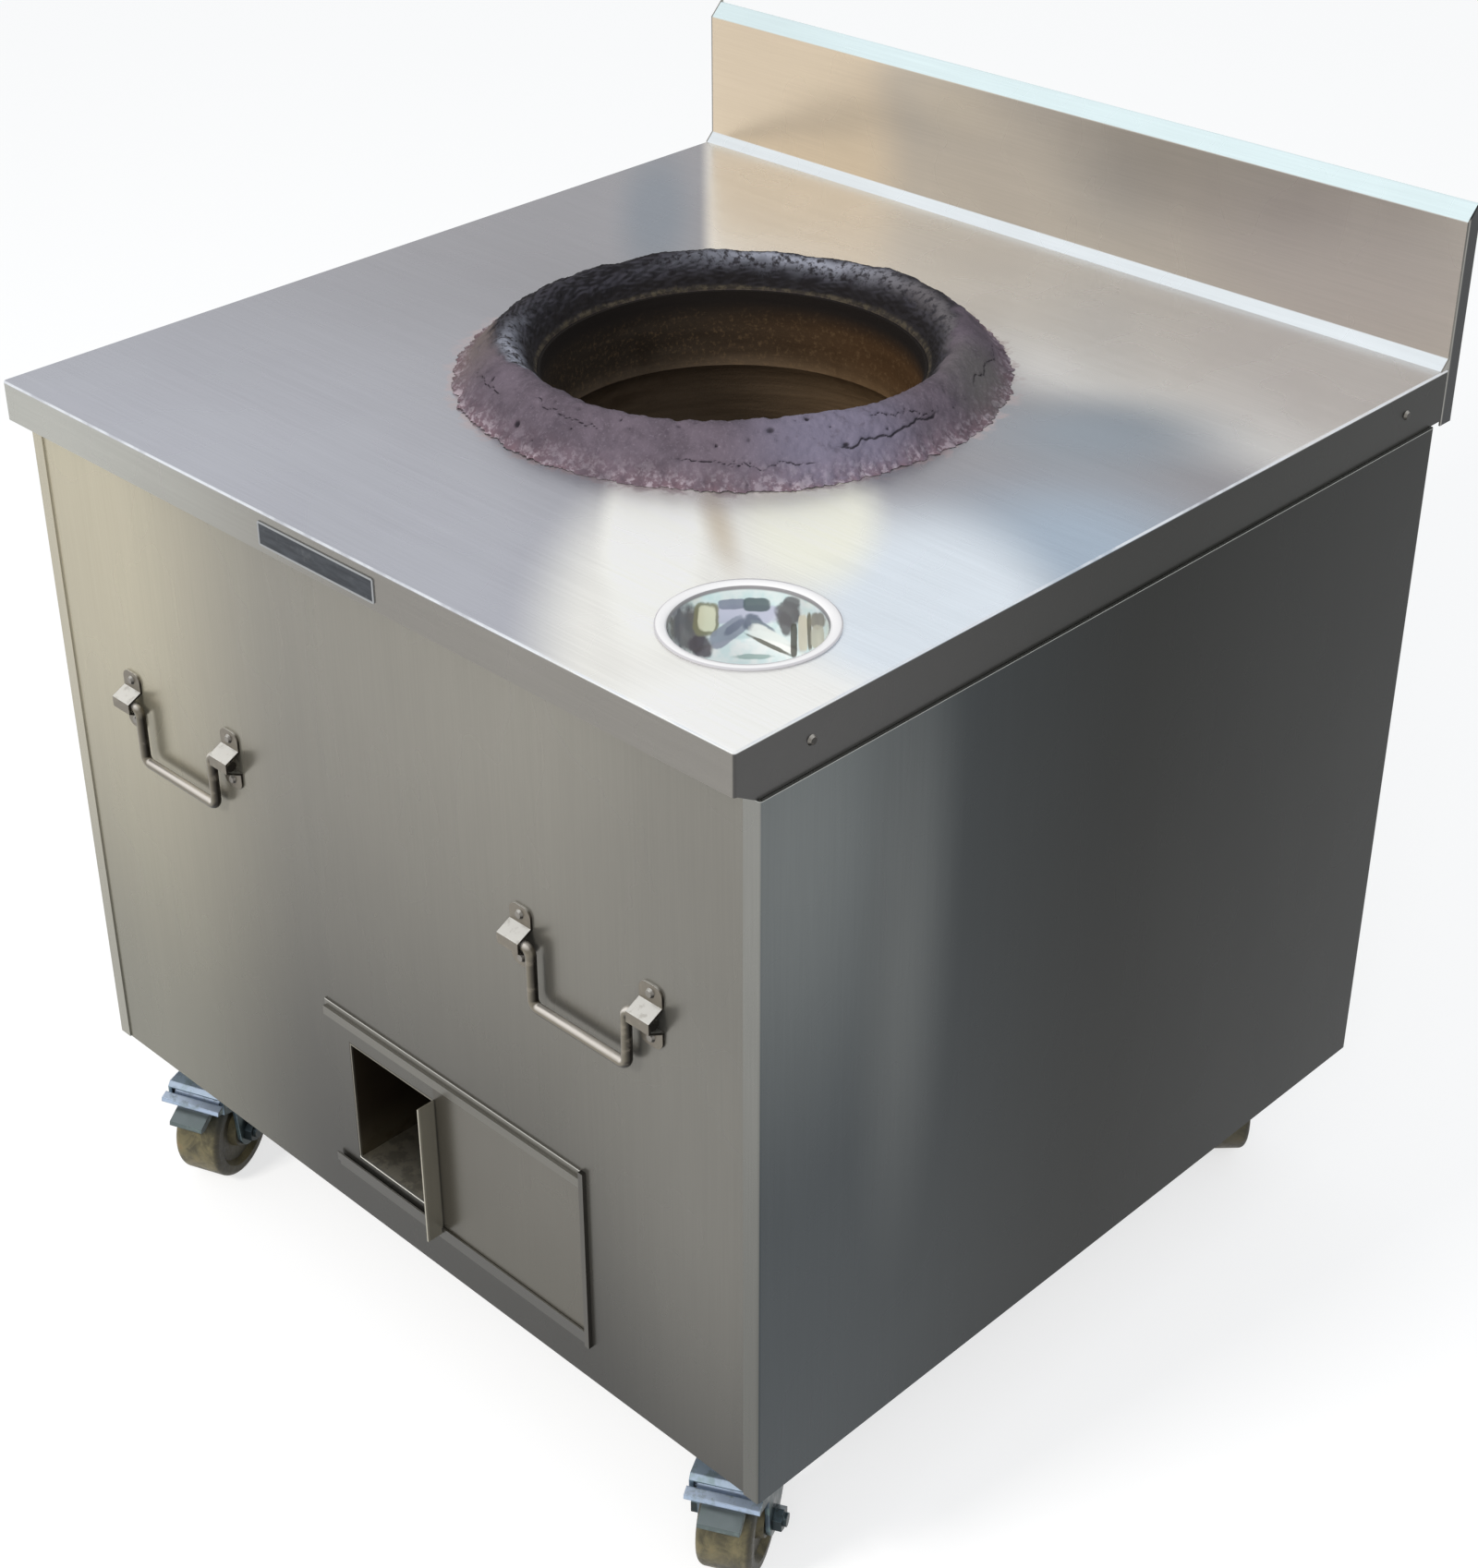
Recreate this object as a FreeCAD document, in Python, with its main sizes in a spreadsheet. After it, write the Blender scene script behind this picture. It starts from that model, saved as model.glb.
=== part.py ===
import FreeCAD, Part
import math
import os
import Sketcher

# A square stainless tandoor on casters: a clay pot in an angle-iron frame, wrapped in folded
# sheet. Millimetres. +X is the cook's right, +Y goes to the wall, +Z is up. The origin is on the
# floor, under the middle of the whole oven.

SIZES = {
    # alias: (value, what it measures)
    "top_width": (864, "worktop, left to right"),
    "top_depth": (868, "worktop, front flange to the back of the splash"),
    "work_height": (840, "floor to worktop"),
    "sheet_wall": (1.5, "stainless sheet"),
    "bend_radius": (2.5, "outside of a folded corner"),
    "front_drop": (36, "front flange of the worktop"),
    "side_drop": (47, "side flanges of the worktop"),
    "splash_rise": (144, "worktop to the splash's top edge"),
    "splash_slope": (16, "splash's sloping return, and its depth"),
    "splash_tail": (52, "splash's back sheet below the worktop"),
    "cove_rise": (9, "sloping foot between worktop and splash"),
    "front_recess": (21.5, "front flange to the cabinet's front"),
    "back_recess": (30.5, "splash's back to the cabinet's back"),
    "side_proud": (3, "side panel outside the worktop's flange"),
    "side_top_gap": (0.3, "worktop's side flange to the side panel's top edge"),
    "side_lip": (16, "side panel's return over front and back"),
    "hem_height": (12, "folded hem at the side panel's top"),
    "sheet_gap": (0.5, "between sheets and frame bars"),
    "floor_wall": (3, "bottom plate"),
    "angle_leg": (40, "angle iron, leg"),
    "angle_wall": (4, "angle iron, wall"),
    "mouth_radius": (162, "inside of the pot's neck"),
    "mouth_set": (6, "mouth's centre behind the oven's middle"),
    "pot_wall": (30, "clay wall"),
    "pot_clear": (44.5, "pot's insulation to the back panel"),
    "belly_bulge": (50, "pot's belly beyond its foot and its shoulder, on the radius"),
    "shoulder_rise": (92, "pot's shoulder up to the neck's foot"),
    "shoulder_bulge": (6, "shoulder's curve beyond a straight line, on the radius"),
    "neck_fall": (65, "worktop down to the neck's foot"),
    "lip_rise": (6, "pot's lip above the worktop"),
    "neck_gap": (7, "worktop's edge round the neck"),
    "skirt_reach": (42, "pot's neck to the clay collar's edge"),
    "crest_reach": (32, "mouth to the clay collar's crest"),
    "crest_rise": (33, "crest above the worktop"),
    "crest_half": (11, "crest's rounding to either side"),
    "crest_fall": (3, "crest down to the ends of its rounding"),
    "skirt_edge": (6, "collar's blunt edge, height"),
    "skirt_draft": (7, "collar's blunt edge, slope"),
    "slope_sag": (7, "collar's inner slope below a straight line"),
    "lip_clay": (2, "collar's inner edge, height and setback"),
    "clay_gap": (3, "hearth block in the pot"),
    "jacket_wall": (45, "insulation round the pot"),
    "grate_ledge": (12, "hearth block under the grate's edge"),
    "hearth_rise": (22, "vent's top edge to the hearth's top"),
    "grate_clear": (6, "grate in the mouth, on the radius"),
    "grate_wall": (16, "charcoal grate, thickness"),
    "slot_width": (12, "slots and bars of the grate"),
    "grate_rim": (24, "grate's edge to its slots"),
    "vent_size": (128, "square draught hole in the front"),
    "vent_x": (9, "draught hole's centre"),
    "vent_rise": (61, "cabinet's bottom to the hole's lower edge"),
    "duct_gap": (0.5, "duct in the front panel's hole"),
    "door_wider": (52, "door's width beyond the hole's"),
    "door_above": (25, "door's top edge above the hole"),
    "door_below": (14, "door's lower edge below the hole"),
    "door_lap": (13, "hole's right edge to the open door's left edge"),
    "door_pull": (18, "door's folded pull, outwards"),
    "pull_top_drop": (22, "door's top edge to the pull's top"),
    "slide_gap": (0.5, "door in its rails"),
    "rail_leg": (9, "rail's spot-welded leg"),
    "rail_lip": (7, "rail's lip over the door"),
    "rail_reach": (28, "hole's left edge to the rails' left end"),
    "stop_width": (5, "end stop"),
    "handle_x": (255, "drop handles' centres, left and right"),
    "handle_drop": (279, "worktop to the handles' pivots"),
    "rod_radius": (4.5, "drop handle's rod"),
    "rod_stand": (9, "front panel to the rod's centre"),
    "bail_span": (104, "leg to leg"),
    "bail_drop": (52, "pivot to the grip"),
    "bail_bend": (6.5, "rod's bends, centre line"),
    "lug_span": (142, "lug to lug"),
    "lug_width": (24, "handle lug"),
    "lug_height": (56, "handle lug"),
    "lug_wall": (2, "handle lug's strap"),
    "lug_clear": (0.3, "strap round the rod"),
    "rod_short": (1, "rod's end inside the lug's outer side"),
    "lug_screw": (20, "pivot to the lug's screws"),
    "bowl_side": (55, "worktop's right edge to the bowl's inside"),
    "bowl_back": (72, "front flange to the bowl's inside"),
    "rim_width": (9, "water bowl's flat rim"),
    "bowl_radius": (57, "water bowl's inside"),
    "bowl_depth": (52, "water bowl"),
    "bowl_wall": (1.2, "water bowl's sheet"),
    "bowl_gap": (0.8, "bowl in its hole"),
    "plate_width": (140, "nameplate"),
    "plate_height": (21, "nameplate"),
    "plate_wall": (1, "nameplate"),
    "plate_corner": (2, "nameplate's corner radius"),
    "plate_x": (-7, "nameplate's centre"),
    "plate_drop": (9, "worktop to the nameplate's top edge"),
    "flange_screw_drop": (23, "worktop to the side flange's screws"),
    "flange_screw_inset": (74, "flange screws from the front and the back edge"),
    "screw_radius": (2, "small screws' shank"),
    "screw_head": (4.2, "small screws' head"),
    "screw_crown": (2.9, "small screws' head, across its flat top, radius"),
    "head_height": (2.2, "small screws' head"),
    "screw_gap": (0.3, "screw in its hole"),
    "caster_side": (80, "side panel to the king pins"),
    "caster_inset": (73, "cabinet's front or back to the king pins"),
    "wheel_radius": (50, "caster wheel"),
    "wheel_width": (48, "caster wheel's tread"),
    "hub_width": (52, "caster wheel's hub"),
    "trail": (30, "king pin to axle, level"),
    "fork_gap": (54, "between the fork's legs"),
    "fork_wall": (4, "fork's legs"),
    "crown_wall": (5, "fork's crown"),
    "crown_reach": (35, "king pin to the crown's end"),
    "crown_clear": (12, "wheel's tread to the crown"),
    "tread_crown": (6, "tread's flat to the wheel's side"),
    "tread_side": (5, "tread's rounding, on the radius"),
    "tread_in": (1.6, "middle of the tread's rounding, inwards"),
    "tread_down": (1.8, "middle of the tread's rounding, below the tread"),
    "rim_side": (11, "wheel's side, on the radius"),
    "web_edge": (15, "wheel's tread to its dished web, on the radius"),
    "web_depth": (8, "hub's face to the dished web"),
    "hub_boss": (12, "hub's wall round the bore"),
    "hub_draft": (2, "hub's slope down to the web"),
    "fork_boss": (9.6, "fork round the axle bolt, beyond the bolt"),
    "fork_toe": (14, "fork's front edge below the crown"),
    "fork_heel": (16, "fork's rear edge below the crown or the pedal's pin"),
    "fork_flare": (4, "fork's slanted corners"),
    "fork_ear": (4, "fork round the pedal's pin"),
    "crown_corner": (10, "crown's corner radius"),
    "race_step": (3, "lower race inside the crown's end"),
    "race_edge": (4, "upper race's straight edge"),
    "race_taper": (6, "upper race's slope, on the radius"),
    "king_head": (4, "king pin's head, thickness"),
    "king_flange": (4.2, "king pin's head beyond the pin"),
    "plate_round": (8, "caster plate's corner radius"),
    "bolt_head": (7.2, "caster bolts' heads, corner radius"),
    "bolt_rise": (5.2, "caster bolts' heads"),
    "axle_head": (10.8, "axle bolt's head and nut, corner radius"),
    "axle_rise": (7.8, "axle bolt's head and nut"),
    "axle_past": (3, "axle bolt beyond its nut"),
    "axle_radius": (6, "caster's axle bolt"),
    "king_radius": (7, "caster's king pin"),
    "run_gap": (0.05, "running fit, on the radius"),
    "race_height": (7, "lower race on the crown"),
    "race_gap": (0.4, "between the swivel races"),
    "upper_race": (10.6, "upper race under the caster's plate"),
    "caster_plate": (5, "caster's top plate"),
    "plate_side": (114, "caster plate, square"),
    "bolt_across": (90, "caster bolts, left to right"),
    "bolt_along": (78, "caster bolts, front to back"),
    "bolt_radius": (4, "caster bolts"),
    "bolt_gap": (1, "bolt in its hole"),
    "pedal_clear": (11.8, "wheel's tread to the centre of the pedal's pin"),
    "pedal_pin": (4, "pedal's pin"),
    "pedal_width": (50, "brake pedal between the fork's ears"),
    "pedal_hub": (3, "pedal's round end over its pin"),
    "pedal_root": (4, "pedal's round end to its lips"),
    "lip_thick": (4, "pedal's lips"),
    "lip_back": (11, "upper lip's tip behind the lower lip's"),
    "lip_drop": (18, "pedal's pin down to the lower lip's tip"),
    "foot_width": (64, "pedal's upper lip"),
    "tongue_width": (36, "pedal's lower lip"),
    "foot_length": (31, "pedal's pin to its tip"),
}

# How far each caster has swivelled on the floor, in degrees about the king pin.
SWIVELS = {"front_right": 28, "front_left": 22, "back_right": 226, "back_left": 35}
BRAKED = ("front_right", "front_left")


class Size:
    """A length with its number and the spreadsheet formula that it comes from."""

    def __init__(self, value, formula):
        self.value = value
        self.formula = formula

    def __add__(self, other):
        other = as_size(other)
        return Size(self.value + other.value, f"({self.formula} + {other.formula})")

    def __sub__(self, other):
        other = as_size(other)
        return Size(self.value - other.value, f"({self.formula} - {other.formula})")

    def __mul__(self, number):
        number = as_size(number)
        return Size(self.value * number.value, f"({self.formula} * {number.formula})")

    def __truediv__(self, number):
        number = as_size(number)
        return Size(self.value / number.value, f"({self.formula} / {number.formula})")

    def __neg__(self):
        return Size(-self.value, f"(0 - {self.formula})")

    __rmul__ = __mul__


def as_size(number):
    if isinstance(number, Size):
        return number
    return Size(float(number), f"({float(number)})")


def root(size):
    return Size(math.sqrt(size.value), f"sqrt({size.formula})")


class Dims:
    """The spreadsheet's cells, each by its alias."""

    def __init__(self, doc, sizes):
        self.sheet = doc.addObject("Spreadsheet::Sheet", "Dims")
        self.sheet.Label = "dimensions"
        for row, (alias, (value, note)) in enumerate(sizes.items(), 1):
            self.sheet.set(f"A{row}", alias)
            self.sheet.set(f"B{row}", str(value))
            self.sheet.set(f"C{row}", note)
            self.sheet.setAlias(f"B{row}", alias)
            setattr(self, alias, Size(float(value), f"Dims.{alias}"))
        doc.recompute()


doc = FreeCAD.newDocument("clay_tandoor")
d = Dims(doc, SIZES)
parts = []

# Planes that many pieces share.
half = d.top_width / 2
front = -(d.top_depth - d.plate_wall) / 2
back = front + d.top_depth
top = d.work_height
wall = d.sheet_wall
splash_face = back - d.splash_slope
lip_face = front + d.front_recess
front_face = lip_face + wall
front_inner = front_face + wall
back_lip_face = back - d.back_recess
back_face = back_lip_face - wall
back_inner = back_face - wall
side_face = half + d.side_proud
side_inner = side_face - wall
side_top = top - d.side_drop - d.side_top_gap
crown_height = d.wheel_radius * 2 + d.crown_clear
crown_top = crown_height + d.crown_wall
race_top = crown_top + d.race_height
plate_under = race_top + d.race_gap + d.upper_race
cabinet_bottom = plate_under + d.caster_plate
floor_top = cabinet_bottom + d.floor_wall
mouth_y = (front + back) / 2 + d.mouth_set
bowl_x = half - d.bowl_side - d.bowl_radius
bowl_y = front + d.bowl_back + d.bowl_radius
bowl_rim = d.bowl_radius + d.rim_width
neck_radius = d.mouth_radius + d.pot_wall
skirt_radius = neck_radius + d.skirt_reach
crest_radius = d.mouth_radius + d.crest_reach
grate_radius = d.mouth_radius - d.grate_clear
hearth_radius = grate_radius - d.grate_ledge
vent_low = cabinet_bottom + d.vent_rise
vent_high = vent_low + d.vent_size
vent_left = d.vent_x - d.vent_size / 2
vent_right = d.vent_x + d.vent_size / 2
pivot_y = front_face - d.rod_stand
pivot_z = top - d.handle_drop
frame_side = half - wall - d.sheet_gap
post_side = frame_side - d.angle_wall - d.sheet_gap
post_inner = post_side - d.angle_leg
hearth_top = vent_high + d.hearth_rise
king_x = side_face - d.caster_side
king_y = {"front": lip_face + d.caster_inset, "back": back_lip_face - d.caster_inset}
caster_bolts = [
    (side * king_x + across * d.bolt_across / 2, king_y[end] + along * d.bolt_along / 2)
    for side in (-1, 1)
    for end in ("front", "back")
    for across in (-1, 1)
    for along in (-1, 1)
]
flange_screw_ys = (front + d.flange_screw_inset, back - d.flange_screw_inset)
handle_lugs = {
    f"handle_lug_{hand}_{side}": (sign * d.handle_x + shift * d.lug_span / 2)
    for hand, sign in (("left", -1), ("right", 1))
    for side, shift in (("left", -1), ("right", 1))
}


# Making sketches and features


def new_body(label, x=0, y=0, z=0):
    """A body of one solid. Its frame is moved to x, y, z."""
    body = doc.addObject("PartDesign::Body", "Body_" + label)
    body.Label = label
    place(body, x, y, z)
    parts.append(body)
    return body


def place(thing, x, y, z):
    thing.Placement.Base = FreeCAD.Vector(as_size(x).value, as_size(y).value, as_size(z).value)
    for axis, size in (("x", x), ("y", y), ("z", z)):
        if isinstance(size, Size):
            thing.setExpression(f"Placement.Base.{axis}", size.formula)


def pin_point(sketch, geo, end, point):
    """Ties one point of a sketch to its two sizes."""
    for kind, coordinate, axis in (("DistanceX", point[0], -2), ("DistanceY", point[1], -1)):
        coordinate = as_size(coordinate)
        if coordinate.formula == "(0.0)":
            sketch.addConstraint(Sketcher.Constraint("PointOnObject", geo, end, axis))
            continue
        index = sketch.addConstraint(Sketcher.Constraint(kind, geo, end, coordinate.value))
        sketch.setExpression(f"Constraints[{index}]", coordinate.formula)


def flat(point):
    return FreeCAD.Vector(as_size(point[0]).value, as_size(point[1]).value, 0)


def add_loop(sketch, corners):
    """A closed outline of corners (u, v). A corner marked "arc" is passed through by an arc."""
    corners = list(corners)
    spans = []
    for index, corner in enumerate(corners):
        if len(corner) == 3:
            continue
        after = corners[(index + 1) % len(corners)]
        if len(after) == 3:
            spans.append((corner, corners[(index + 2) % len(corners)], after))
        else:
            spans.append((corner, after, None))
    ends = []
    for start, stop, through in spans:
        if through is None:
            geo = sketch.addGeometry(Part.LineSegment(flat(start), flat(stop)))
            ends.append((geo, 1, 2))
            continue
        geo = sketch.addGeometry(Part.Arc(flat(start), flat(through), flat(stop)))
        straight = sketch.getPoint(geo, 1).distanceToPoint(flat(start)) < 1e-6
        ends.append((geo, 1, 2) if straight else (geo, 2, 1))
        middle = sketch.addGeometry(Part.Point(flat(through)), True)
        sketch.addConstraint(Sketcher.Constraint("PointOnObject", middle, 1, geo))
        pin_point(sketch, middle, 1, through)
    for index, (start, stop, through) in enumerate(spans):
        geo, first, last = ends[index]
        next_geo, next_first, next_last = ends[(index + 1) % len(ends)]
        sketch.addConstraint(Sketcher.Constraint("Coincident", geo, last, next_geo, next_first))
        pin_point(sketch, geo, first, start)


def add_circle(sketch, centre, radius):
    radius = as_size(radius)
    circle = Part.Circle(flat(centre), FreeCAD.Vector(0, 0, 1), radius.value)
    geo = sketch.addGeometry(circle)
    index = sketch.addConstraint(Sketcher.Constraint("Radius", geo, radius.value))
    sketch.setExpression(f"Constraints[{index}]", radius.formula)
    pin_point(sketch, geo, 3, centre)


def add_sketch(body, plane, at=0, lift=0):
    """A sketch on the body's own plane, moved to at along the third axis, and up by lift."""
    sketch = body.newObject("Sketcher::SketchObject", "Sketch")
    support = [f for f in body.Origin.OriginFeatures if f.Role == plane + "_Plane"][0]
    sketch.AttachmentSupport = [(support, "")]
    sketch.MapMode = "FlatFace"
    offset = as_size(at) if plane != "XZ" else -as_size(at)
    lift = as_size(lift)
    sketch.AttachmentOffset = FreeCAD.Placement(
        FreeCAD.Vector(0, lift.value, offset.value), FreeCAD.Rotation()
    )
    sketch.setExpression("AttachmentOffset.Base.z", offset.formula)
    sketch.setExpression("AttachmentOffset.Base.y", lift.formula)
    return sketch


def fill(sketch, loops, circles):
    for corners in loops:
        add_loop(sketch, corners)
    for centre, radius in circles:
        add_circle(sketch, centre, radius)


def extrude(body, kind, plane, at, depth, loops=(), circles=()):
    """Adds ("Pad") or takes away ("Pocket") the outlines from at to at + depth along +axis."""
    sketch = add_sketch(body, plane, at)
    fill(sketch, loops, circles)
    feature = body.newObject("PartDesign::" + kind, kind)
    feature.Profile = sketch
    feature.Length = as_size(depth).value
    feature.setExpression("Length", as_size(depth).formula)
    feature.Reversed = (plane == "XZ") == (kind == "Pad")
    return feature


def pad(body, plane, at, depth, loops=(), circles=()):
    return extrude(body, "Pad", plane, at, depth, loops, circles)


def pocket(body, plane, at, depth, loops=(), circles=()):
    return extrude(body, "Pocket", plane, at, depth, loops, circles)


def turn(body, corners, axis="V_Axis", plane="XZ", at=0, lift=0):
    """Adds a turned shape: the outline goes once round the sketch's own axis."""
    sketch = add_sketch(body, plane, at, lift)
    add_loop(sketch, corners)
    feature = body.newObject("PartDesign::Revolution", "Revolution")
    feature.Profile = sketch
    feature.ReferenceAxis = (sketch, [axis])
    feature.Angle = 360
    return feature


def box(u0, v0, u1, v1):
    return [(u0, v0), (u1, v0), (u1, v1), (u0, v1)]


def edges_at(feature, where):
    """Names of the feature's edges whose middle point passes a test."""
    doc.recompute()
    names = []
    for index, edge in enumerate(feature.Shape.Edges, 1):
        middle = edge.valueAt((edge.FirstParameter + edge.LastParameter) / 2)
        if where(middle, edge):
            names.append(f"Edge{index}")
    return names


def round_edges(body, feature, radius, where):
    fillet = body.newObject("PartDesign::Fillet", "Fillet")
    fillet.Base = (feature, edges_at(feature, where))
    fillet.Radius = as_size(radius).value
    fillet.setExpression("Radius", as_size(radius).formula)
    return fillet


def near(number, size):
    return abs(number - as_size(size).value) < 0.01


def upright(edge):
    ends = edge.valueAt(edge.LastParameter) - edge.valueAt(edge.FirstParameter)
    return abs(ends.x) < 0.01 and abs(ends.y) < 0.01


# Sheet metal


def make_worktop():
    """A folded tray with open back. The mouth and the bowl pass through its deck."""
    body = new_body("worktop", z=top)
    pad(body, "XY", -d.side_drop, d.side_drop, [box(-half, front, half, splash_face)])
    inside = box(-(half - wall), front + wall, half - wall, splash_face + wall)
    pocket(body, "XY", -d.side_drop, d.side_drop - wall, [inside])
    step = [
        (front - 1, -d.front_drop),
        (front + wall * 2, -d.front_drop),
        (front + d.front_recess, -d.side_drop),
        (front + d.front_recess, -d.side_drop - 1),
        (front - 1, -d.side_drop - 1),
    ]
    pocket(body, "YZ", -half - 1, d.top_width + 2, [step])
    tongue = box(-(half - wall), splash_face, half - wall, back - wall)
    pad(body, "XY", -wall, wall, [tongue])
    mouth = ((0, mouth_y), neck_radius + d.neck_gap)
    bowl = ((bowl_x, bowl_y), d.bowl_radius + d.bowl_wall + d.bowl_gap)
    pocket(body, "XY", -wall * 2, wall * 3, circles=[mouth, bowl])
    screws = [((y, -d.flange_screw_drop), d.screw_radius + d.screw_gap) for y in flange_screw_ys]
    last = pocket(body, "YZ", -half - 1, d.top_width + 2, circles=screws)

    def corner(middle, edge):
        return upright(edge) and near(abs(middle.x), half) and near(middle.y, front)

    last = round_edges(body, last, d.bend_radius, corner)

    def top_edge(middle, edge):
        outer = near(abs(middle.x), half) or near(middle.y, front)
        rounded = abs(middle.x) > half.value - 3 and middle.y < front.value + 3
        return near(middle.z, 0) and (outer or rounded)

    round_edges(body, last, d.bend_radius * 0.8, top_edge)


SLOPE_SHIFT = math.tan(math.radians(22.5))


def make_splashback():
    """One bent sheet: a sloping foot, the upright face, a sloping return and the back."""
    body = new_body("splashback", z=top)
    foot_y = splash_face - d.cove_rise
    shift = wall * SLOPE_SHIFT
    outline = [
        (foot_y, 0),
        (splash_face, d.cove_rise),
        (splash_face, d.splash_rise - d.splash_slope),
        (back, d.splash_rise),
        (back, -d.splash_tail),
        (back - wall, -d.splash_tail),
        (back - wall, d.splash_rise - shift - wall * 2),
        (splash_face + wall, d.splash_rise - d.splash_slope - shift),
        (splash_face + wall, d.cove_rise - shift),
        (foot_y + wall * math.sqrt(2), 0),
    ]
    sheet = pad(body, "YZ", -(half - wall), (half - wall) * 2, [outline])

    def bends(face_y, back_y):
        def on_bend(middle, edge):
            at_face = near(middle.y, face_y) and middle.z > d.cove_rise.value
            at_back = near(middle.y, back_y) and middle.z > 0
            return near(middle.x, 0) and (at_face or at_back)

        return on_bend

    inside = bends(splash_face + wall, back - wall)
    sheet = round_edges(body, sheet, d.bend_radius - wall, inside)
    round_edges(body, sheet, d.bend_radius, bends(splash_face, back))


def make_splash_ends():
    outline = [
        (splash_face, -d.splash_tail),
        (back, -d.splash_tail),
        (back, d.splash_rise),
        (splash_face, d.splash_rise - d.splash_slope),
        (splash_face, d.cove_rise),
        (splash_face - d.cove_rise, 0),
        (splash_face, 0),
    ]
    for hand, at in (("left", -half), ("right", half - wall)):
        body = new_body(f"splash_end_{hand}", z=top)
        pad(body, "YZ", at, wall, [outline])


def panel_outline():
    """Full width below the side panels' top edge, and narrower inside the worktop's flanges."""
    wide = side_inner - d.sheet_gap
    return [
        (-wide, cabinet_bottom),
        (wide, cabinet_bottom),
        (wide, side_top),
        (frame_side, side_top),
        (frame_side, top - wall),
        (-frame_side, top - wall),
        (-frame_side, side_top),
        (-wide, side_top),
    ]


def make_front_panel():
    body = new_body("front_panel")
    vent = box(vent_left, vent_low, vent_right, vent_high)
    screws = [
        ((x, pivot_z + sign * d.lug_screw), d.screw_radius + d.screw_gap)
        for x in handle_lugs.values()
        for sign in (-1, 1)
    ]
    pad(body, "XZ", front_face, wall, [panel_outline(), vent], screws)


def make_back_panel():
    body = new_body("back_panel")
    pad(body, "XZ", back_inner, wall, [panel_outline()])


def make_side_panel(hand, sign):
    """A sheet with a lip folded over the front and the back panel, and a hemmed top edge."""
    body = new_body(f"side_panel_{hand}", z=cabinet_bottom)
    outer = sign * side_face
    inner = sign * side_inner
    lip = sign * (side_face - d.side_lip)
    outline = [
        (lip, lip_face),
        (outer, lip_face),
        (outer, back_lip_face),
        (lip, back_lip_face),
        (lip, back_lip_face - wall),
        (inner, back_lip_face - wall),
        (inner, lip_face + wall),
        (lip, lip_face + wall),
    ]
    height = side_top - cabinet_bottom
    pad(body, "XY", 0, height, [outline])
    clear = wall * 2 + d.sheet_gap
    hem = box(inner, lip_face + clear, sign * (side_inner - wall), back_lip_face - clear)
    sheet = pad(body, "XY", height - d.hem_height, d.hem_height, [hem])

    def corner(middle, edge):
        at_end = near(middle.y, lip_face) or near(middle.y, back_lip_face)
        return upright(edge) and near(middle.x, outer) and at_end

    round_edges(body, sheet, d.bend_radius, corner)


def make_bottom_plate():
    body = new_body("bottom_plate")
    wide = side_inner - d.sheet_gap
    outline = box(-wide, front_inner + d.sheet_gap, wide, back_inner - d.sheet_gap)
    holes = [(spot, d.bolt_radius + d.bolt_gap) for spot in caster_bolts]
    pad(body, "XY", cabinet_bottom, d.floor_wall, [outline], holes)


# Angle-iron frame


def angle_outline(u, v, along_u, along_v):
    """An L with its corner at u, v and its legs towards the two signs."""
    leg_u = u + along_u * d.angle_leg
    leg_v = v + along_v * d.angle_leg
    wall_u = u + along_u * d.angle_wall
    wall_v = v + along_v * d.angle_wall
    return [(u, v), (leg_u, v), (leg_u, wall_v), (wall_u, wall_v), (wall_u, leg_v), (u, leg_v)]


def make_base_rails():
    """Round the bottom plate's edge, with the caster bolts through their flat legs."""
    holes = [(spot, d.bolt_radius + d.bolt_gap) for spot in caster_bolts]
    length = back_inner - front_inner - d.sheet_gap * 2
    for hand, sign in (("left", -1), ("right", 1)):
        body = new_body(f"base_rail_{hand}")
        corner_x = sign * (side_inner - d.sheet_gap)
        outline = angle_outline(corner_x, floor_top, -sign, 1)
        pad(body, "XZ", front_inner + d.sheet_gap, length, [outline])
        mine = [hole for hole in holes if abs(hole[0][0].value - corner_x.value) < 40]
        pocket(body, "XY", floor_top - 1, d.angle_wall + 2, circles=mine)
    for end, corner_y, inwards in (
        ("front", front_inner + d.sheet_gap, 1),
        ("back", back_inner - d.sheet_gap, -1),
    ):
        body = new_body(f"base_rail_{end}")
        outline = angle_outline(corner_y, floor_top, inwards, 1)
        pad(body, "YZ", -(post_inner - d.sheet_gap), (post_inner - d.sheet_gap) * 2, [outline])
        mine = [
            hole
            for hole in holes
            if abs(hole[0][1].value - corner_y.value) < 40 and abs(hole[0][0].value) < post_inner.value
        ]
        pocket(body, "XY", floor_top - 1, d.angle_wall + 2, circles=mine)


def make_corner_posts():
    foot = floor_top + d.angle_wall
    height = top - wall - d.angle_wall - foot
    for end, corner_y, inwards in (
        ("front", front_inner + d.sheet_gap, 1),
        ("back", back_inner - d.sheet_gap, -1),
    ):
        for hand, sign in (("left", -1), ("right", 1)):
            body = new_body(f"corner_post_{end}_{hand}", z=foot)
            outline = angle_outline(sign * post_side, corner_y, -sign, inwards)
            pad(body, "XY", 0, height, [outline])


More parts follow.
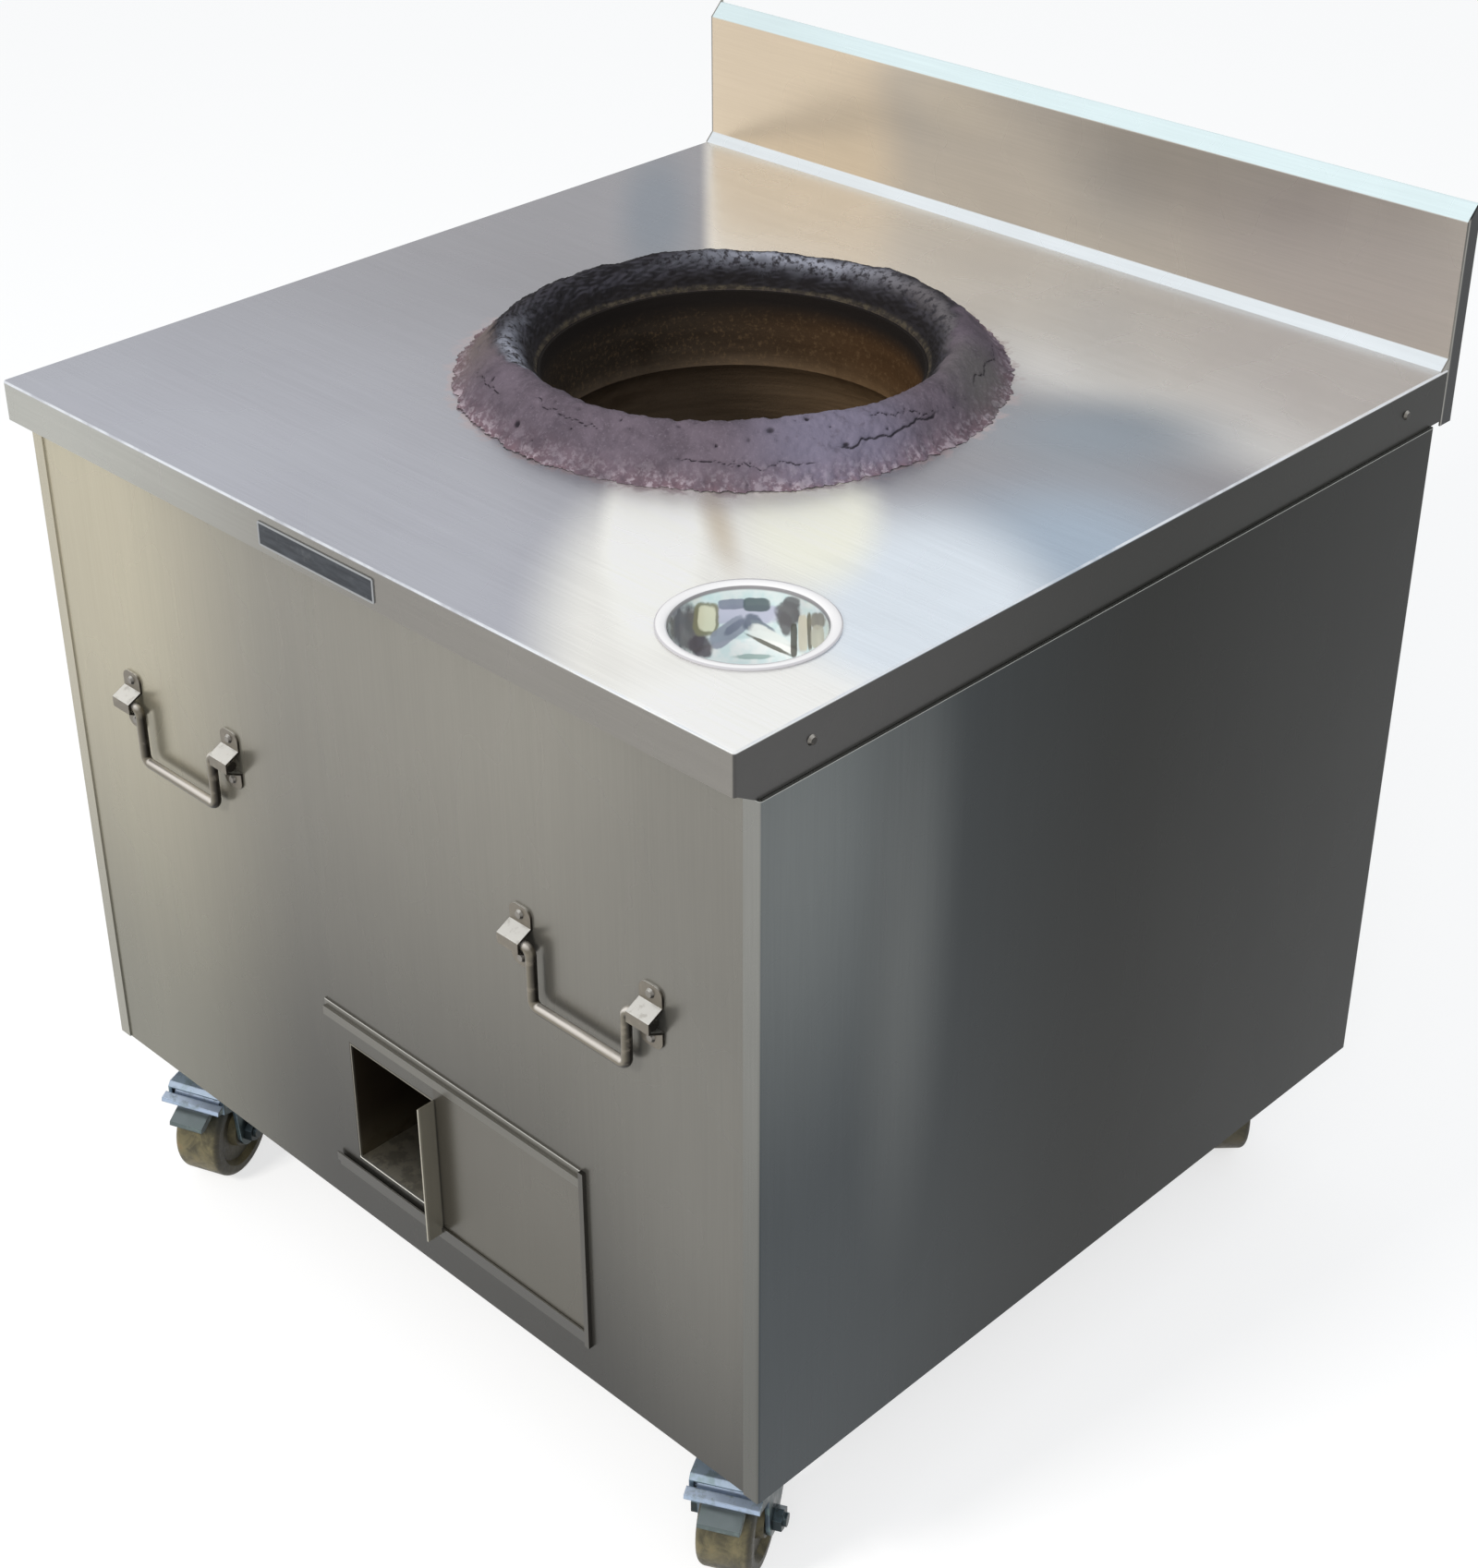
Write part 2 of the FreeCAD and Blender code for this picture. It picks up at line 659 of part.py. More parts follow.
def make_top_rails():
    """The worktop lies on these. The side flanges are screwed to the two side rails."""
    under = top - wall
    length = back_inner - front_inner - d.sheet_gap * 2
    screws = [
        ((y, top - d.flange_screw_drop), d.screw_radius + d.screw_gap) for y in flange_screw_ys
    ]
    for hand, sign in (("left", -1), ("right", 1)):
        body = new_body(f"top_rail_{hand}")
        outline = angle_outline(sign * frame_side, under, -sign, -1)
        pad(body, "XZ", front_inner + d.sheet_gap, length, [outline])
        pocket(body, "YZ", -half, d.top_width, circles=screws)
    for end, corner_y, inwards in (
        ("front", front_inner + d.sheet_gap, 1),
        ("back", back_inner - d.sheet_gap, -1),
    ):
        body = new_body(f"top_rail_{end}")
        outline = angle_outline(corner_y, under, inwards, -1)
        pad(body, "YZ", -(post_inner - d.sheet_gap), (post_inner - d.sheet_gap) * 2, [outline])


# Oven

pot_height = top + d.lip_rise - floor_top
neck_height = top - d.neck_fall - floor_top
shoulder_height = neck_height - d.shoulder_rise
belly_height = shoulder_height / 2
belly_radius = back_inner - mouth_y - d.pot_clear - d.jacket_wall
shoulder_radius = belly_radius - d.belly_bulge
belly_arc = (belly_height * belly_height + d.belly_bulge * d.belly_bulge) / (d.belly_bulge * 2)


def pot_outside(height):
    """The pot's outer radius at a height above its foot, on the belly's arc."""
    rise = height - belly_height
    return belly_radius - belly_arc + root(belly_arc * belly_arc - rise * rise)


def pot_side(shift, upper, reverse=False):
    """The pot's outer side from foot to neck, moved out by shift, as corners of a profile."""
    shoulder = (shoulder_radius + neck_radius) / 2 + d.shoulder_bulge
    shoulder_middle = (shoulder_height + neck_height + d.shoulder_bulge) / 2
    side = [
        (shoulder_radius + shift, 0),
        (belly_radius + shift, belly_height, "arc"),
        (shoulder_radius + shift, shoulder_height),
        (shoulder + shift, shoulder_middle, "arc"),
        (neck_radius + shift, neck_height),
        (neck_radius + shift, upper),
    ]
    return side[::-1] if reverse else side


def duct_hole(clear):
    """The draught passage's section, wider than the duct by clear, in the pot's frame."""
    return box(
        vent_left - clear, vent_low - floor_top - clear, vent_right + clear, vent_high - floor_top + clear
    )


def make_clay_pot():
    body = new_body("clay_pot", y=mouth_y, z=floor_top)
    outline = pot_side(as_size(0), pot_height) + pot_side(-d.pot_wall, pot_height, reverse=True)
    turn(body, outline)
    reach = belly_radius + d.pot_wall
    pocket(body, "XZ", -reach, reach, [duct_hole(d.clay_gap)])


def make_insulation():
    """A wool jacket round the pot, let in for the duct."""
    body = new_body("insulation_jacket", y=mouth_y, z=floor_top)
    upper = pot_height - d.lip_rise - wall * 4
    outline = pot_side(d.jacket_wall, upper) + pot_side(d.clay_gap, upper, reverse=True)
    turn(body, outline)
    reach = belly_radius + d.jacket_wall * 2
    pocket(body, "XZ", -reach, reach, [duct_hole(d.clay_gap)])


def make_hearth():
    """A refractory block cast in the pot's foot: an ash pit with a tunnel to the front."""
    body = new_body("hearth_block", y=mouth_y, z=floor_top)
    height = hearth_top - floor_top
    inset = d.pot_wall + d.clay_gap
    pit_floor = vent_low - floor_top
    outline = [
        (0, 0),
        (shoulder_radius - inset, 0),
        (pot_outside(height / 2) - inset, height / 2, "arc"),
        (pot_outside(height) - inset, height),
        (hearth_radius, height),
        (hearth_radius, pit_floor),
        (0, pit_floor),
    ]
    turn(body, outline)
    tunnel = box(vent_left, pit_floor, vent_right, vent_high - floor_top)
    pocket(body, "XZ", -belly_radius, belly_radius, [tunnel])


def make_grate():
    """A round cast grate that just passes the mouth, with slots up to its rim."""
    body = new_body("fire_grate", y=mouth_y, z=hearth_top)
    pad(body, "XY", 0, d.grate_wall, circles=[((0, 0), grate_radius)])
    slots_end = grate_radius - d.grate_rim
    count = int((slots_end.value * 0.8) / (d.slot_width.value * 2))
    rows = []
    for step in range(-count, count + 1):
        left = step * d.slot_width * 2 - d.slot_width / 2
        outer = abs(step) * d.slot_width * 2 + d.slot_width / 2
        reach = root(slots_end * slots_end - outer * outer)
        rows.append(box(left, d.slot_width / 2, left + d.slot_width, reach))
        rows.append(box(left, -reach, left + d.slot_width, -d.slot_width / 2))
    pocket(body, "XY", -1, d.grate_wall + 2, rows)


SKIRT_SHARE = 0.64  # the skirt's height half way from its edge to the crest, as a share of the crest's


def make_collar():
    """The clay plastered round the neck and over its lip: ragged skirt, crest, inner slope."""
    body = new_body("mouth_collar", y=mouth_y, z=top)
    inner_edge = d.mouth_radius + d.lip_clay
    outline = [
        (neck_radius + d.sheet_gap, 0),
        (skirt_radius, 0),
        (skirt_radius - d.skirt_draft, d.skirt_edge),
        ((skirt_radius + crest_radius) / 2, d.crest_rise * SKIRT_SHARE, "arc"),
        (crest_radius + d.crest_half, d.crest_rise - d.crest_fall),
        (crest_radius, d.crest_rise, "arc"),
        (crest_radius - d.crest_half, d.crest_rise - d.crest_fall),
        ((crest_radius + d.mouth_radius - d.slope_sag) / 2, (d.crest_rise + d.lip_rise) / 2, "arc"),
        (inner_edge, d.lip_rise + d.lip_clay),
        (inner_edge, d.lip_rise),
        (neck_radius + d.sheet_gap, d.lip_rise),
    ]
    turn(body, outline)


def make_duct():
    """A folded sheet sleeve from the front panel's hole into the pot's wall."""
    body = new_body("vent_duct")
    outer = box(
        vent_left + d.duct_gap, vent_low + d.duct_gap, vent_right - d.duct_gap, vent_high - d.duct_gap
    )
    edge = d.duct_gap + wall
    inner = box(vent_left + edge, vent_low + edge, vent_right - edge, vent_high - edge)
    hearth_front = mouth_y - pot_outside(hearth_top - floor_top) + d.pot_wall
    pad(body, "XZ", front_face, hearth_front - front_face, [outer, inner])


# Draught door

door_bottom = vent_low - d.door_below
door_top = vent_high + d.door_above
door_left = vent_right - d.door_lap
door_right = door_left + d.vent_size + d.door_wider
door_face = front_face - d.slide_gap - wall
rail_face = door_face - d.slide_gap
rail_left = vent_left - d.rail_reach
rail_right = door_right + d.slide_gap


def make_vent_door():
    """A plate that slides left to shut the hole, with a pull folded out at its left edge."""
    body = new_body("vent_door")
    pad(body, "XZ", door_face, wall, [box(door_left, door_bottom, door_right, door_top)])
    low = door_bottom + d.slide_gap * 2
    high = door_top - d.pull_top_drop
    past_lip = rail_face - wall - d.slide_gap
    pull = [
        (door_face, door_bottom + d.rail_lip + d.slide_gap),
        (past_lip, door_bottom + d.rail_lip + d.slide_gap),
        (past_lip, low),
        (door_face - d.door_pull, low),
        (door_face - d.door_pull, high),
        (door_face, high),
    ]
    pad(body, "YZ", door_left, wall, [pull])


def rail_outline(edge, up):
    """A rail's Z section: a leg on the panel, a step, and a lip over the door's edge."""
    gap = edge + up * d.slide_gap
    return [
        (front_face, edge + up * d.rail_leg),
        (front_face, gap),
        (rail_face, gap),
        (rail_face, edge - up * d.rail_lip),
        (rail_face - wall, edge - up * d.rail_lip),
        (rail_face - wall, gap + up * wall),
        (front_face - wall, gap + up * wall),
        (front_face - wall, edge + up * d.rail_leg),
    ]


def make_vent_rails():
    for label, edge, up in (("vent_rail_top", door_top, 1), ("vent_rail_bottom", door_bottom, -1)):
        body = new_body(label)
        pad(body, "YZ", rail_left, rail_right - rail_left, [rail_outline(edge, up)])
    body = new_body("vent_end_stop")
    outline = box(rail_right, door_bottom - d.rail_leg, rail_right + d.stop_width, door_top + d.rail_leg)
    pad(body, "XZ", rail_face - wall, front_face - rail_face + wall, [outline])


# Drop handles

HUMP_SLOPE = 0.5  # how far the lug's hump spreads for each mm towards the panel
NOSE_SHARE = 0.8  # half of the hump's flat nose, as a share of the rod's radius
TINY = 1e-6


def lug_outline():
    """A strap over the rod's end, seen from the side: two ears on the panel and a nosed hump."""
    inner_nose = -(d.rod_radius + d.lug_clear)
    outer_nose = inner_nose - d.lug_wall
    panel = d.rod_stand
    ear = panel - d.lug_wall
    thick = d.lug_wall * math.sqrt(1 + HUMP_SLOPE**2)
    nose_half = d.rod_radius * NOSE_SHARE
    inner_root = nose_half + (panel - inner_nose) * HUMP_SLOPE
    outer_root = inner_root + thick - d.lug_wall * HUMP_SLOPE
    outer_half = nose_half + thick - d.lug_wall * HUMP_SLOPE
    tip = d.lug_height / 2
    return [
        (panel, tip),
        (ear, tip),
        (ear, outer_root),
        (outer_nose, outer_half),
        (outer_nose, -outer_half),
        (ear, -outer_root),
        (ear, -tip),
        (panel, -tip),
        (panel, -inner_root),
        (inner_nose, -nose_half),
        (inner_nose, nose_half),
        (panel, inner_root),
    ]


def make_handle_lugs():
    for label, x in handle_lugs.items():
        body = new_body(label, x=x, y=pivot_y, z=pivot_z)
        pad(body, "YZ", -d.lug_width / 2, d.lug_width, [lug_outline()])
        screws = [
            ((0, sign * d.lug_screw), d.screw_radius + d.screw_gap) for sign in (-1, 1)
        ]
        strap = pocket(body, "XZ", 0, d.rod_stand + 1, circles=screws)

        def ear_corner(middle, edge):
            return near(abs(middle.x), d.lug_width / 2) and near(abs(middle.z), d.lug_height / 2)

        round_edges(body, strap, d.lug_width / 3, ear_corner)


def bail_line(sketch):
    """The rod's centre line: out of one lug, down, across, up and into the other."""
    leg = d.bail_span / 2
    end = (d.lug_span + d.lug_width) / 2 - d.rod_short
    bend = d.bail_bend
    corners = [(-end, 0), (-leg, 0), (-leg, -d.bail_drop), (leg, -d.bail_drop), (leg, 0), (end, 0)]
    points = [flat(corner) for corner in corners]
    last_piece = None
    for index in range(len(points) - 1):
        start = points[index]
        stop = points[index + 1]
        along = (stop - start).normalize() * bend.value
        first = start + along if index else start
        final = stop - along if index < len(points) - 2 else stop
        line = sketch.addGeometry(Part.LineSegment(first, final))
        level = abs(along.y) < TINY
        sketch.addConstraint(Sketcher.Constraint("Horizontal" if level else "Vertical", line))
        if last_piece is not None:
            arc, arc_end = last_piece
            sketch.addConstraint(Sketcher.Constraint("Tangent", arc, arc_end, line, 1))
        if index < len(points) - 2:
            ahead = (points[index + 2] - stop).normalize() * bend.value
            centre = stop - along + ahead
            middle = centre + (stop - centre).normalize() * bend.value
            arc = sketch.addGeometry(Part.Arc(final, middle, stop + ahead))
            starts = sketch.getPoint(arc, 1).distanceToPoint(final) < TINY
            near_end, far_end = (1, 2) if starts else (2, 1)
            sketch.addConstraint(Sketcher.Constraint("Tangent", line, 2, arc, near_end))
            radius = sketch.addConstraint(Sketcher.Constraint("Radius", arc, bend.value))
            sketch.setExpression(f"Constraints[{radius}]", bend.formula)
            last_piece = (arc, far_end)
        across, upwards = corners[index]
        if index in (0, 4):
            pin_point(sketch, line, 1 if index == 0 else 2, corners[index if index == 0 else 5])
        elif level:
            size = sketch.addConstraint(Sketcher.Constraint("DistanceY", line, 1, upwards.value))
            sketch.setExpression(f"Constraints[{size}]", upwards.formula)
        else:
            size = sketch.addConstraint(Sketcher.Constraint("DistanceX", line, 1, across.value))
            sketch.setExpression(f"Constraints[{size}]", across.formula)
    return end


def make_bails():
    for hand, sign in (("left", -1), ("right", 1)):
        body = new_body(f"bail_{hand}", x=sign * d.handle_x, y=pivot_y, z=pivot_z)
        line = add_sketch(body, "XZ")
        end = bail_line(line)
        section = add_sketch(body, "YZ", at=-end)
        add_circle(section, (0, 0), d.rod_radius)
        rod = body.newObject("PartDesign::AdditivePipe", "Rod")
        rod.Profile = section
        rod.Spine = line


# Top fittings


# The bowl's side: shares of its radius and its depth at the upper bend, the belly and the floor.
BOWL_SIDE = ((0.97, 0.2), (0.83, 0.75), (0.5, 1.0))
BELLY_THICK = (0.8, 0.7)  # the wall at the belly, out and down, as shares of the sheet
FLOOR_THICK = 0.3


def make_bowl():
    """A spun water bowl that hangs by its flat rim."""
    body = new_body("water_bowl", x=bowl_x, y=bowl_y, z=top)
    inside = d.bowl_radius
    deep = d.bowl_depth
    thick = d.bowl_wall
    bend, belly, foot = [(inside * across, -deep * down) for across, down in BOWL_SIDE]
    outline = [
        (inside + thick, 0),
        (bowl_rim, 0),
        (bowl_rim, thick),
        (inside, thick),
        bend,
        (*belly, "arc"),
        foot,
        (0, -deep),
        (0, -deep - thick),
        (foot[0] + thick * FLOOR_THICK, -deep - thick),
        (belly[0] + thick * BELLY_THICK[0], belly[1] - thick * BELLY_THICK[1], "arc"),
        (bend[0] + thick, bend[1]),
    ]
    turn(body, outline)


def make_nameplate():
    body = new_body("nameplate", x=d.plate_x, z=top - d.plate_drop)
    outline = box(-d.plate_width / 2, -d.plate_height, d.plate_width / 2, 0)
    plate = pad(body, "XZ", front - d.plate_wall, d.plate_wall, [outline])

    def corner(middle, edge):
        ends = near(abs(middle.x), d.plate_width / 2)
        return ends and (near(middle.z, 0) or near(middle.z, -d.plate_height))

    round_edges(body, plate, d.plate_corner, corner)


# Screws and bolts: plain Part solids, grouped by kind

TOWARDS = {
    "+X": FreeCAD.Rotation(FreeCAD.Vector(0, 1, 0), 90),
    "-X": FreeCAD.Rotation(FreeCAD.Vector(0, 1, 0), -90),
    "-Y": FreeCAD.Rotation(FreeCAD.Vector(1, 0, 0), 90),
    "-Z": FreeCAD.Rotation(FreeCAD.Vector(1, 0, 0), 180),
}
STEPS = {"+X": (1, 0, 0), "-X": (-1, 0, 0), "-Y": (0, -1, 0), "-Z": (0, 0, -1)}


def solid(kind, label, sizes, spot, facing):
    thing = doc.addObject(kind, label)
    for name, size in sizes.items():
        size = as_size(size)
        setattr(thing, name, size.value)
        thing.setExpression(name, size.formula)
    thing.Placement.Rotation = TOWARDS[facing]
    place(thing, *spot)
    return thing


def pan_screw(spot, facing, shank):
    """A screw whose head's underside is at spot. Its head points where it is facing."""
    head = solid(
        "Part::Cone",
        "Head",
        {"Radius1": d.screw_head, "Radius2": d.screw_crown, "Height": d.head_height},
        spot,
        facing,
    )
    return bolt_of(head, d.screw_radius, spot, facing, shank)


def hex_bolt(spot, facing, shank):
    head = solid(
        "Part::Prism",
        "Head",
        {"Circumradius": d.bolt_head, "Height": d.bolt_rise},
        spot,
        facing,
    )
    head.Polygon = 6
    return bolt_of(head, d.bolt_radius, spot, facing, shank)


def bolt_of(head, radius, spot, facing, shank):
    start = [as_size(c) - shank * step for c, step in zip(spot, STEPS[facing])]
    stem = solid("Part::Cylinder", "Stem", {"Radius": radius, "Height": shank}, start, facing)
    bolt = doc.addObject("Part::Fuse", "Bolt")
    bolt.Base = head
    bolt.Tool = stem
    return bolt


def group(label, bolts):
    compound = doc.addObject("Part::Compound", "Group_" + label)
    compound.Label = label
    compound.Links = bolts
    parts.append(compound)


def make_fasteners():
    lug_face = front_face - d.lug_wall
    group(
        "lug_screws",
        [
            pan_screw((x, lug_face, pivot_z + sign * d.lug_screw), "-Y", d.lug_wall + wall * 3)
            for x in handle_lugs.values()
            for sign in (-1, 1)
        ],
    )
    reach = wall + d.sheet_gap + d.angle_wall
    group(
        "flange_screws",
        [
            pan_screw((sign * half, y, top - d.flange_screw_drop), facing, reach)
            for sign, facing in ((-1, "-X"), (1, "+X"))
            for y in flange_screw_ys
        ],
    )
    stack = d.caster_plate + d.floor_wall + d.angle_wall * 2
    under = cabinet_bottom - d.caster_plate
    group("caster_bolts", [hex_bolt((x, y, under), "-Z", stack) for x, y in caster_bolts])


# Casters

PEDAL_LEAN = math.radians(29.06)
pedal_y = -d.trail - (d.wheel_radius + d.pedal_clear) * math.sin(PEDAL_LEAN)
pedal_z = d.wheel_radius + (d.wheel_radius + d.pedal_clear) * math.cos(PEDAL_LEAN)


def caster_body(label, corner):
    """A body whose frame stands on the floor under the king pin, turned with the swivel."""
    end, hand = corner.split("_")
    sign = -1 if hand == "left" else 1
    body = new_body(f"{label}_{corner}")
    turned = 0 if label == "caster_plate" else SWIVELS[corner]
    body.Placement.Rotation = FreeCAD.Rotation(FreeCAD.Vector(0, 0, 1), turned)
    place(body, sign * king_x, king_y[end], 0)
    return body


def make_caster_plate(corner):
    """The top plate with the upper race and the king pin, whose head holds the fork."""
    body = caster_body("caster_plate", corner)
    side = d.plate_side / 2
    holes = [
        ((across * d.bolt_across / 2, along * d.bolt_along / 2), d.bolt_radius + d.bolt_gap)
        for across in (-1, 1)
        for along in (-1, 1)
    ]
    plate = pad(body, "XY", plate_under, d.caster_plate, [box(-side, -side, side, side)], holes)

    def corner_edge(middle, edge):
        return upright(edge) and near(abs(middle.x), side) and near(abs(middle.y), side)

    round_edges(body, plate, d.plate_round, corner_edge)
    race = d.crown_reach
    king = d.king_radius
    head_top = crown_height - d.race_gap
    outline = [
        (0, plate_under),
        (race, plate_under),
        (race, plate_under - d.race_edge),
        (race - d.race_taper, race_top + d.race_gap),
        (king, race_top + d.race_gap),
        (king, head_top),
        (king + d.king_flange, head_top),
        (king + d.king_flange, head_top - d.king_head),
        (0, head_top - d.king_head),
    ]
    turn(body, outline)


def make_fork(corner):
    """Two legs and a crown pressed from one sheet, with the lower race on top."""
    body = caster_body("caster_fork", corner)
    axle = (-d.trail, d.wheel_radius)
    boss = d.axle_radius + d.fork_boss
    flare = d.fork_flare
    if corner in BRAKED:
        ear = d.pedal_pin + d.fork_ear
        behind = [
            (-d.trail - boss - flare, pedal_z - d.fork_heel),
            (pedal_y - ear, pedal_z - ear),
            (pedal_y - ear, crown_top - flare),
            (pedal_y - ear + flare, crown_top),
        ]
    else:
        behind = [
            (-d.trail - boss - flare / 2, crown_top - d.fork_heel),
            (-d.trail - boss + flare, crown_top),
        ]
    outline = [
        (d.crown_reach, crown_top),
        (d.crown_reach, crown_top - d.fork_toe),
        (-d.trail + boss, d.wheel_radius),
        (-d.trail, d.wheel_radius - boss, "arc"),
        (-d.trail - boss, d.wheel_radius),
    ] + behind
    wide = d.fork_gap / 2 + d.fork_wall
    pad(body, "YZ", -wide, wide * 2, [outline])
    gap = d.fork_gap / 2
    pocket(body, "XZ", -d.trail * 5, d.trail * 8, [box(-gap, 0, gap, crown_height)])
    race = d.crown_reach - d.race_step
    pad(body, "XY", crown_top, d.race_height, circles=[((0, 0), race)])
    king_hole = ((0, 0), d.king_radius + d.run_gap)
    pocket(body, "XY", crown_height - 1, race_top - crown_height + 2, circles=[king_hole])
    across = [(axle, d.axle_radius + d.run_gap * 2)]
    if corner in BRAKED:
        across.append(((pedal_y, pedal_z), d.pedal_pin + d.run_gap))
    fork = pocket(body, "YZ", -wide - 1, wide * 2 + 2, circles=across)

    def crown_corner(middle, edge):
        at_end = near(middle.y, d.crown_reach)
        return upright(edge) and near(abs(middle.x), wide) and at_end

    round_edges(body, fork, d.crown_corner, crown_corner)


def make_wheel(corner):
    """A solid moulded wheel with a crowned tread, a dished web and a hub."""
    body = caster_body("caster_wheel", corner)
    tread = d.wheel_width / 2
    hub = d.hub_width / 2
    radius = d.wheel_radius
    bore = d.axle_radius + d.run_gap
    right = [
        (tread - d.tread_crown, radius),
        (tread - d.tread_in, radius - d.tread_down, "arc"),
        (tread, radius - d.tread_side),
        (tread, radius - d.rim_side),
        (hub - d.web_depth, radius - d.web_edge),
        (hub - d.web_depth, bore + d.hub_boss + d.hub_draft),
        (hub, bore + d.hub_boss),
        (hub, bore),
    ]
    left = [(-corner[0], *corner[1:]) for corner in right[::-1]]
    outline = left + right
    turn(body, outline, axis="H_Axis", at=-d.trail, lift=d.wheel_radius)


def hexagon(centre, reach):
    corners = []
    for step in range(6):
        angle = math.radians(60 * step + 30)
        corners.append((centre[0] + reach * math.cos(angle), centre[1] + reach * math.sin(angle)))
    return corners


def make_axle(corner):
    """A bolt through the fork and the wheel, with its nut."""
    body = caster_body("caster_axle", corner)
    outside = d.fork_gap / 2 + d.fork_wall
    centre = (-d.trail, d.wheel_radius)
    head = d.axle_rise
    pad(body, "YZ", -outside, outside * 2 + head + d.axle_past, circles=[(centre, d.axle_radius)])
    pad(body, "YZ", -outside - head, head, [hexagon(centre, d.axle_head)])
    pad(body, "YZ", outside, head, [hexagon(centre, d.axle_head)])


def make_pedal(corner):
    """A lever on its pin between the fork's ears, with a wide upper lip and a narrow lower one."""
    body = caster_body("brake_pedal", corner)
    hub = d.pedal_pin + d.pedal_hub
    tip = pedal_y - d.foot_length
    thick = d.lip_thick
    upper_tip = tip + d.lip_back
    notch = pedal_y - hub - d.pedal_root
    under = notch - thick / 2
    upper_lip = [
        (upper_tip + thick / 4, pedal_z + thick * 3 / 4),
        (upper_tip, pedal_z - thick / 4),
        (notch, pedal_z - thick * 3 / 4),
    ]
    lower_lip = [
        (under, pedal_z - thick * 3 / 2),
        (tip + thick / 4, pedal_z - d.lip_drop + thick),
        (tip, pedal_z - d.lip_drop),
        (tip + thick * 3 / 2, pedal_z - d.lip_drop - thick / 4),
    ]
    heel = (pedal_y - thick, pedal_z - thick * 9 / 4)
    lever = [(pedal_y + hub, pedal_z), (pedal_y, pedal_z + hub, "arc"), (pedal_y - hub, pedal_z)]
    lever += upper_lip + [lower_lip[0], heel]
    foot = d.foot_width
    tongue = d.tongue_width
    pad(body, "YZ", -d.pedal_width / 2, d.pedal_width, [lever])
    pad(body, "YZ", -foot / 2, foot, [upper_lip + [(notch, pedal_z + thick * 5 / 4)]])
    pad(body, "YZ", -tongue / 2, tongue, [lower_lip + [heel]])
    wide = d.fork_gap / 2 + d.fork_wall
    pad(body, "YZ", -wide, wide * 2, circles=[((pedal_y, pedal_z), d.pedal_pin)])


def make_casters():
    for corner in SWIVELS:
        make_caster_plate(corner)
        make_fork(corner)
        make_wheel(corner)
        make_axle(corner)
        if corner in BRAKED:
            make_pedal(corner)


def check_document():
    """Stops at a failed object, an empty or invalid shape, or a wrong number of solids."""
    for thing in doc.Objects:
        if "Invalid" in thing.State or "Error" in thing.State:
            raise RuntimeError(f"{thing.Label} failed: {thing.State}")
    for part in parts:
        shape = part.Shape
        if shape.isNull() or not shape.isValid() or not shape.Solids:
            raise RuntimeError(f"{part.Label} has no valid solid")
        if part.TypeId == "PartDesign::Body" and len(shape.Solids) != 1:
            raise RuntimeError(f"{part.Label} has {len(shape.Solids)} solids")


def main():
    make_worktop()
    make_splashback()
    make_splash_ends()
    make_front_panel()
    make_back_panel()
    make_side_panel("left", -1)
    make_side_panel("right", 1)
    make_bottom_plate()
    make_base_rails()
    make_corner_posts()
    make_top_rails()
    make_clay_pot()
    make_insulation()
    make_hearth()
    make_grate()
    make_collar()
    make_duct()
    make_vent_door()
    make_vent_rails()
    make_handle_lugs()
    make_bails()
    make_bowl()
    make_nameplate()
    make_fasteners()
    make_casters()
    doc.recompute()
    check_document()
    os.makedirs("parts", exist_ok=True)
    for part in parts:
        part.Shape.exportStep(f"parts/{part.Label}.step")
    print(len(parts), "nodes written")


main()
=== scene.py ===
"""A clay tandoor oven in a stainless cabinet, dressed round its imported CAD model.

Metres, in the model's own frame: +X to the cook's right, +Y to the wall, +Z up. The CAD sheets, bars
and castings stay and get their finishes here. The clay collar and the water bowl are modelled again
as finer surfaces.
"""

import math

import bpy
import numpy as np
from bpy.props import FloatProperty, FloatVectorProperty, IntProperty, PointerProperty
from mathutils import Euler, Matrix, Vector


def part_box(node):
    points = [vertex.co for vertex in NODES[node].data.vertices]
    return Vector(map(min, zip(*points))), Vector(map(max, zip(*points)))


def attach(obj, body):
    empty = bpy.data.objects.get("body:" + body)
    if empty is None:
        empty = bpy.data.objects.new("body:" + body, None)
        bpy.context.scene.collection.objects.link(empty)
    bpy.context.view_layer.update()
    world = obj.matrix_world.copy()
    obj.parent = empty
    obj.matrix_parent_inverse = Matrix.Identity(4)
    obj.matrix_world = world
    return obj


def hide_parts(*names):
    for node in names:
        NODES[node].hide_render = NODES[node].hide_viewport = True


bl_info = {
    "name": "Clay tandoor oven",
    "version": (1, 0, 0),
    "blender": (4, 5, 0),
    "location": "View3D > Sidebar > Tandoor",
    "description": "Surfaces, finishes and studio of a clay tandoor oven",
    "category": "Object",
}

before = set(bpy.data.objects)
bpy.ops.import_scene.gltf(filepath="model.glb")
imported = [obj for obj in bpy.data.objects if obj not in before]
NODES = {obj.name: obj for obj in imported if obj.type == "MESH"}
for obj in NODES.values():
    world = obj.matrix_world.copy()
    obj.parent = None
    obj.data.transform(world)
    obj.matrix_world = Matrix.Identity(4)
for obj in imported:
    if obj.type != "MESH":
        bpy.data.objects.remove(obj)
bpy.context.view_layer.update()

CORNERS = ("front_right", "front_left", "back_right", "back_left")
FAR = 100.0  # a half-size that leaves a direction out of a tone pool
SKYWARD = (-0.45, -0.12, 0.88)  # the direction of the painted highlight on small metal parts, where they would mirror the brightest sky


def middle(node):
    """The middle of a CAD node's box, as numpy."""
    low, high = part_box(node)
    return (np.array(low) + np.array(high)) / 2


